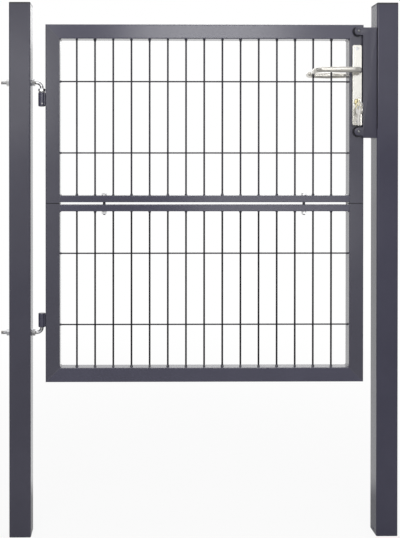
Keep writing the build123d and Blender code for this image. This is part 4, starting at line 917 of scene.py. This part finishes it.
brass = cut_brass("machined_brass", (0.84, 0.78, 0.52, 1), (0.68, 0.60, 0.34, 1))
dress(brass, "cylinder_body", "cylinder_plug", "rear_cylinder_plug")


# Keys: nickel silver blanks with a stamped bow, milled side grooves and a cut edge.
# One stands in the plug, and two spares hang from it on a sprung steel split ring.

nickel = satin_metal("worn_nickel_silver", (0.95, 0.925, 0.88, 1), (0.86, 0.835, 0.79, 1),
                     (700.0, 90.0, 700.0), dullness=0.24)

KEY_THICKNESS = 2.2
BOW_RADIUS = 12.0
KEY_HOLE_RADIUS = 3.5
KEY_HOLE_SET = 6.0
CUT_DEPTHS = (1.4, 2.4, 0.9, 2.0, 2.9, 1.2)
BLADE_WIDTH = 8.0
BLADE_STATIONS = 24
SHOULDER_STATION = 9


def key_blank(length):
    """Key in its own XY plane: bow about the origin, blade along +Y to that length past the bow's middle."""
    bow = bmesh.new()
    bmesh.ops.create_circle(bow, segments=40, radius=BOW_RADIUS)
    hole = bmesh.ops.create_circle(bow, segments=40, radius=KEY_HOLE_RADIUS)["verts"]
    bmesh.ops.translate(bow, vec=(0, KEY_HOLE_SET - BOW_RADIUS, 0), verts=hole)
    bmesh.ops.bridge_loops(bow, edges=bow.edges[:])
    bmesh.ops.translate(bow, vec=(0, 0, -KEY_THICKNESS / 2), verts=bow.verts)
    raised = bmesh.ops.extrude_face_region(bow, geom=bow.faces[:], use_keep_orig=True)["geom"]
    corners = [item for item in raised if isinstance(item, bmesh.types.BMVert)]
    bmesh.ops.translate(bow, vec=(0, 0, KEY_THICKNESS), verts=corners)
    bmesh.ops.recalc_face_normals(bow, faces=bow.faces)
    flats = [face for face in bow.faces if abs(face.normal.z) > 0.9]
    bmesh.ops.inset_region(bow, faces=flats, thickness=1.5, depth=-0.35, use_even_offset=True)
    blade = bmesh.new()
    bmesh.ops.create_cube(blade, size=1.0)
    start = BOW_RADIUS * 0.72
    stretch = Matrix.Diagonal((BLADE_WIDTH, length - start, KEY_THICKNESS, 1))
    matrix = Matrix.Translation((0, (start + length) / 2, 0)) @ stretch
    bmesh.ops.transform(blade, matrix=matrix, verts=blade.verts)
    long_edges = [edge for edge in blade.edges if abs(edge.verts[0].co.y - edge.verts[1].co.y) > 1]
    bmesh.ops.subdivide_edges(blade, edges=long_edges, cuts=BLADE_STATIONS - 1, use_grid_fill=True)
    pitch = (length - start) / BLADE_STATIONS
    for corner in blade.verts:
        station = round((corner.co.y - start) / pitch)
        past_shoulder = station - SHOULDER_STATION
        if corner.co.x > 0 and past_shoulder > 0:
            cut = CUT_DEPTHS[past_shoulder // 3 % len(CUT_DEPTHS)]
            corner.co.x -= cut if past_shoulder % 3 else cut * 0.35
        if station == BLADE_STATIONS:
            corner.co.x *= 0.55
    sides = [face for face in blade.faces if abs(face.normal.z) > 0.9]
    bmesh.ops.inset_region(blade, faces=sides, thickness=1.6, depth=-0.45, use_even_offset=True)
    return joined([(bow, Matrix()), (blade, Matrix())])


def across_frame(x_way, y_way, place):
    """Matrix that sets a shape's X and Y along two directions at a place."""
    columns = (Vector(x_way), Vector(y_way), Vector(x_way).cross(Vector(y_way)))
    return Matrix.Translation(place) @ Matrix(columns).transposed().to_4x4()


CYLINDER_Z = 1213.0
BOW_Y = -46.5
key_matrix = across_frame((0, 0, -1), (0, 1, 0), (LOCK_X, BOW_Y, CYLINDER_Z))
door_key = set_piece("front_key", joined([(key_blank(length=40.0), key_matrix)]), nickel, "key")
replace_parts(door_key, "key")

RING_Y = -52.5
RING_MIDDLE = 1202.42
RING_RADIUS = 8.1
RING_WIRE = (1.5, 0.78)
RING_PITCH = 0.82
RING_STEP = 0.08


def split_ring():
    """Two flat turns of sprung wire side by side, with a short step at one side from turn to turn."""
    shape = bmesh.new()
    wire = bmesh.ops.create_circle(shape, segments=8, radius=0.5 / cos(pi / 8))["verts"]
    bmesh.ops.rotate(shape, cent=(0, 0, 0), matrix=Matrix.Rotation(pi / 8, 3, "Z"), verts=wire)
    bmesh.ops.scale(shape, vec=(*RING_WIRE, 1), verts=wire)
    bmesh.ops.rotate(shape, cent=(0, 0, 0), matrix=Matrix.Rotation(pi / 2, 3, "X"), verts=wire)
    bmesh.ops.translate(shape, vec=(RING_RADIUS, 0, -RING_PITCH / 2), verts=wire)
    end = shape.verts[:] + shape.edges[:]
    for turn, rise, steps in ((1 - RING_STEP, 0, 44), (RING_STEP, RING_PITCH, 6), (1 - RING_STEP, 0, 44)):
        end = bmesh.ops.spin(shape, geom=end, cent=(0, 0, 0), axis=(0, 0, 1), dvec=(0, 0, rise / steps),
                             angle=tau * turn, steps=steps)["geom_last"]
    bmesh.ops.holes_fill(shape, edges=shape.edges[:], sides=0)
    bmesh.ops.recalc_face_normals(shape, faces=shape.faces)
    return joined([(shape, across_frame((1, 0, 0), (0, 0, 1), (LOCK_X, RING_Y, RING_MIDDLE)))])


ring = set_piece("split_ring", split_ring(), zinc, "key_bunch")
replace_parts(ring, "key_ring")

SPARE_SPREAD = radians(26.0)
SPARE_DROP = 1.65
spare_parts = []
for side, turn in ((-1, radians(17)), (1, radians(-4))):
    hang = Vector((LOCK_X + side * RING_RADIUS * sin(SPARE_SPREAD), RING_Y,
                   RING_MIDDLE - RING_RADIUS * cos(SPARE_SPREAD) - SPARE_DROP))
    hung = across_frame((0, 1, 0), (0, 0, -1), (0, 0, KEY_HOLE_SET - BOW_RADIUS))
    matrix = Matrix.Translation(hang) @ Matrix.Rotation(turn, 4, "Z") @ hung
    spare_parts.append((key_blank(length=42.0), matrix))
spares = set_piece("hanging_spare_keys", joined(spare_parts), nickel, "key_bunch")
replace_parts(spares, "spare_keys")


# Studio: a plain pale floor that keeps a soft shadow, a white surround, soft lamps in
# front, one behind and one overhead. The camera stands about a metre above the floor in
# front of the leaf, a little to the hinge side.

def ray_kinds(shade):
    """Tells the camera's rays, mirrored rays and rays through clear pieces apart."""
    kinds = ("Is Camera Ray", "Is Glossy Ray", "Is Transmission Ray")
    return [shade.node("LightPath", {}, {}, kind) for kind in kinds]


FLOOR_WHITE = 0.90
FLOOR_GAP = 0.0005
NEAR_FLOOR = (0.42, 0.42, 0.42, 1)
floor_finish = bpy.data.materials.new("pale_floor")
floor_finish.use_nodes = True
floor_tree = floor_finish.node_tree
floor_tree.nodes.remove(floor_tree.nodes["Principled BSDF"])
pale = Shade(floor_tree)
grain = pale.noise(pale.place(), 40.0, 3.0)
matt = pale.node("BsdfDiffuse", {}, {"Color": grain.tint((0.74, 0.74, 0.74, 1), (0.78, 0.78, 0.78, 1))})
camera_ray, glossy_ray, clear_ray = ray_kinds(pale)
away = pale.node("VectorMath", {"operation": "LENGTH"}, {0: pale.place()}, "Value").step(0.5, 3.0)
behind = pale.place().along("Y").step(0.22, 0.44)
bright = (camera_ray + behind * (1 - camera_ray)).tint(NEAR_FLOOR, (1, 1, 1, 1))
white = pale.node("Emission", {}, {"Color": bright, "Strength": 1.0})
share = camera_ray * (away * (1 - FLOOR_WHITE) + FLOOR_WHITE) + (glossy_ray + clear_ray) * FLOOR_WHITE
seen_floor = pale.node("MixShader", {}, {0: share, 1: matt, 2: white})
floor_tree.links.new(seen_floor.socket, floor_tree.nodes["Material Output"].inputs["Surface"])

floor_shape = bmesh.new()
bmesh.ops.create_grid(floor_shape, x_segments=1, y_segments=1, size=30.0)
floor_mesh = bpy.data.meshes.new("studio_floor")
floor_shape.to_mesh(floor_mesh)
floor_shape.free()
floor_mesh.materials.append(floor_finish)
studio_floor = bpy.data.objects.new("studio_floor", floor_mesh)
studio_floor.location = (0, 0, cad_box[0].z - FLOOR_GAP)
bpy.context.scene.collection.objects.link(studio_floor)

surround = bpy.data.worlds.new("white_surround")
surround.use_nodes = True
bpy.context.scene.world = surround
sky = Shade(surround.node_tree)
camera_ray, glossy_ray, clear_ray = ray_kinds(sky)
AMBIENT = 0.30
DARK_FRONT = 0.34
background = surround.node_tree.nodes["Background"]
background.inputs["Color"].default_value = (1, 1, 1, 1)
way = sky.node("TexCoord", {}, {}, "Generated")
rearward = way.along("Y").step(-0.6, 0.3)
upward = way.along("Z").step(0.45, 0.85)
mirrored = (rearward * (1 - DARK_FRONT) + DARK_FRONT) * (1 - upward * 0.4)
level = camera_ray * (1 - AMBIENT) + (glossy_ray + clear_ray) * (mirrored - AMBIENT) + AMBIENT
surround.node_tree.links.new(level.socket, background.inputs["Strength"])

LAMPS = {
    "left_key": {"place": (-1.0, -2.2, 2.7), "aim": (-0.1, 0.0, 1.0), "size": (1.2, 1.2), "power": 15},
    "right_key": {"place": (1.0, -2.4, 2.8), "aim": (0.3, 0.0, 1.2), "size": (0.9, 0.45), "power": 7.8},
    "front_softbox": {"place": (0.3, -2.9, 1.85), "aim": (0.1, 0.0, 1.2), "size": (1.0, 0.75), "power": 11.6},
    "left_softbox": {"place": (-1.08, -2.8, 1.6), "aim": (-0.5, 0.0, 1.2), "size": (0.8, 0.7), "power": 4.3},
    "left_fill": {"place": (-1.1, -2.8, 0.9), "aim": (-0.5, 0.0, 1.0), "size": (0.9, 0.9), "power": 1.6},
    "right_softbox": {"place": (1.4, -2.9, 1.75), "aim": (1.0, 0.0, 1.4), "size": (0.9, 0.9), "power": 2.2},
    "low_softbox": {"place": (0.68, -2.9, 0.75), "aim": (0.1, 0.0, 0.9), "size": (1.0, 0.5), "power": 2.9},
    "rear_lamp": {"place": (0.8, 2.4, 2.6), "aim": (0.0, 0.0, 0.8), "size": (1.8, 1.8), "power": 30},
    "overhead": {"place": (0.0, 0.2, 3.2), "aim": (0.0, 0.2, 0.0), "size": (2.6, 2.6), "power": 18},
}
for name, lamp in LAMPS.items():
    light = bpy.data.lights.new(name, "AREA")
    light.shape = "RECTANGLE"
    light.size, light.size_y = lamp["size"]
    light.energy = lamp["power"]
    stand = bpy.data.objects.new(name, light)
    stand.location = lamp["place"]
    aim = Vector(lamp["aim"]) - Vector(lamp["place"])
    stand.rotation_euler = aim.to_track_quat("-Z", "Y").to_euler()
    stand.visible_camera = False
    bpy.context.scene.collection.objects.link(stand)

lens = bpy.data.cameras.new("camera")
lens.lens = 54.63
lens.shift_x = 0.1200
lens.shift_y = -0.1720
camera = bpy.data.objects.new("camera", lens)
camera.location = (-0.2105, -2.300, 1.0188)
camera.rotation_euler = (radians(89.661), 0, radians(-0.495))
bpy.context.scene.collection.objects.link(camera)
bpy.context.scene.camera = camera
bpy.context.scene.view_settings.view_transform = "Standard"
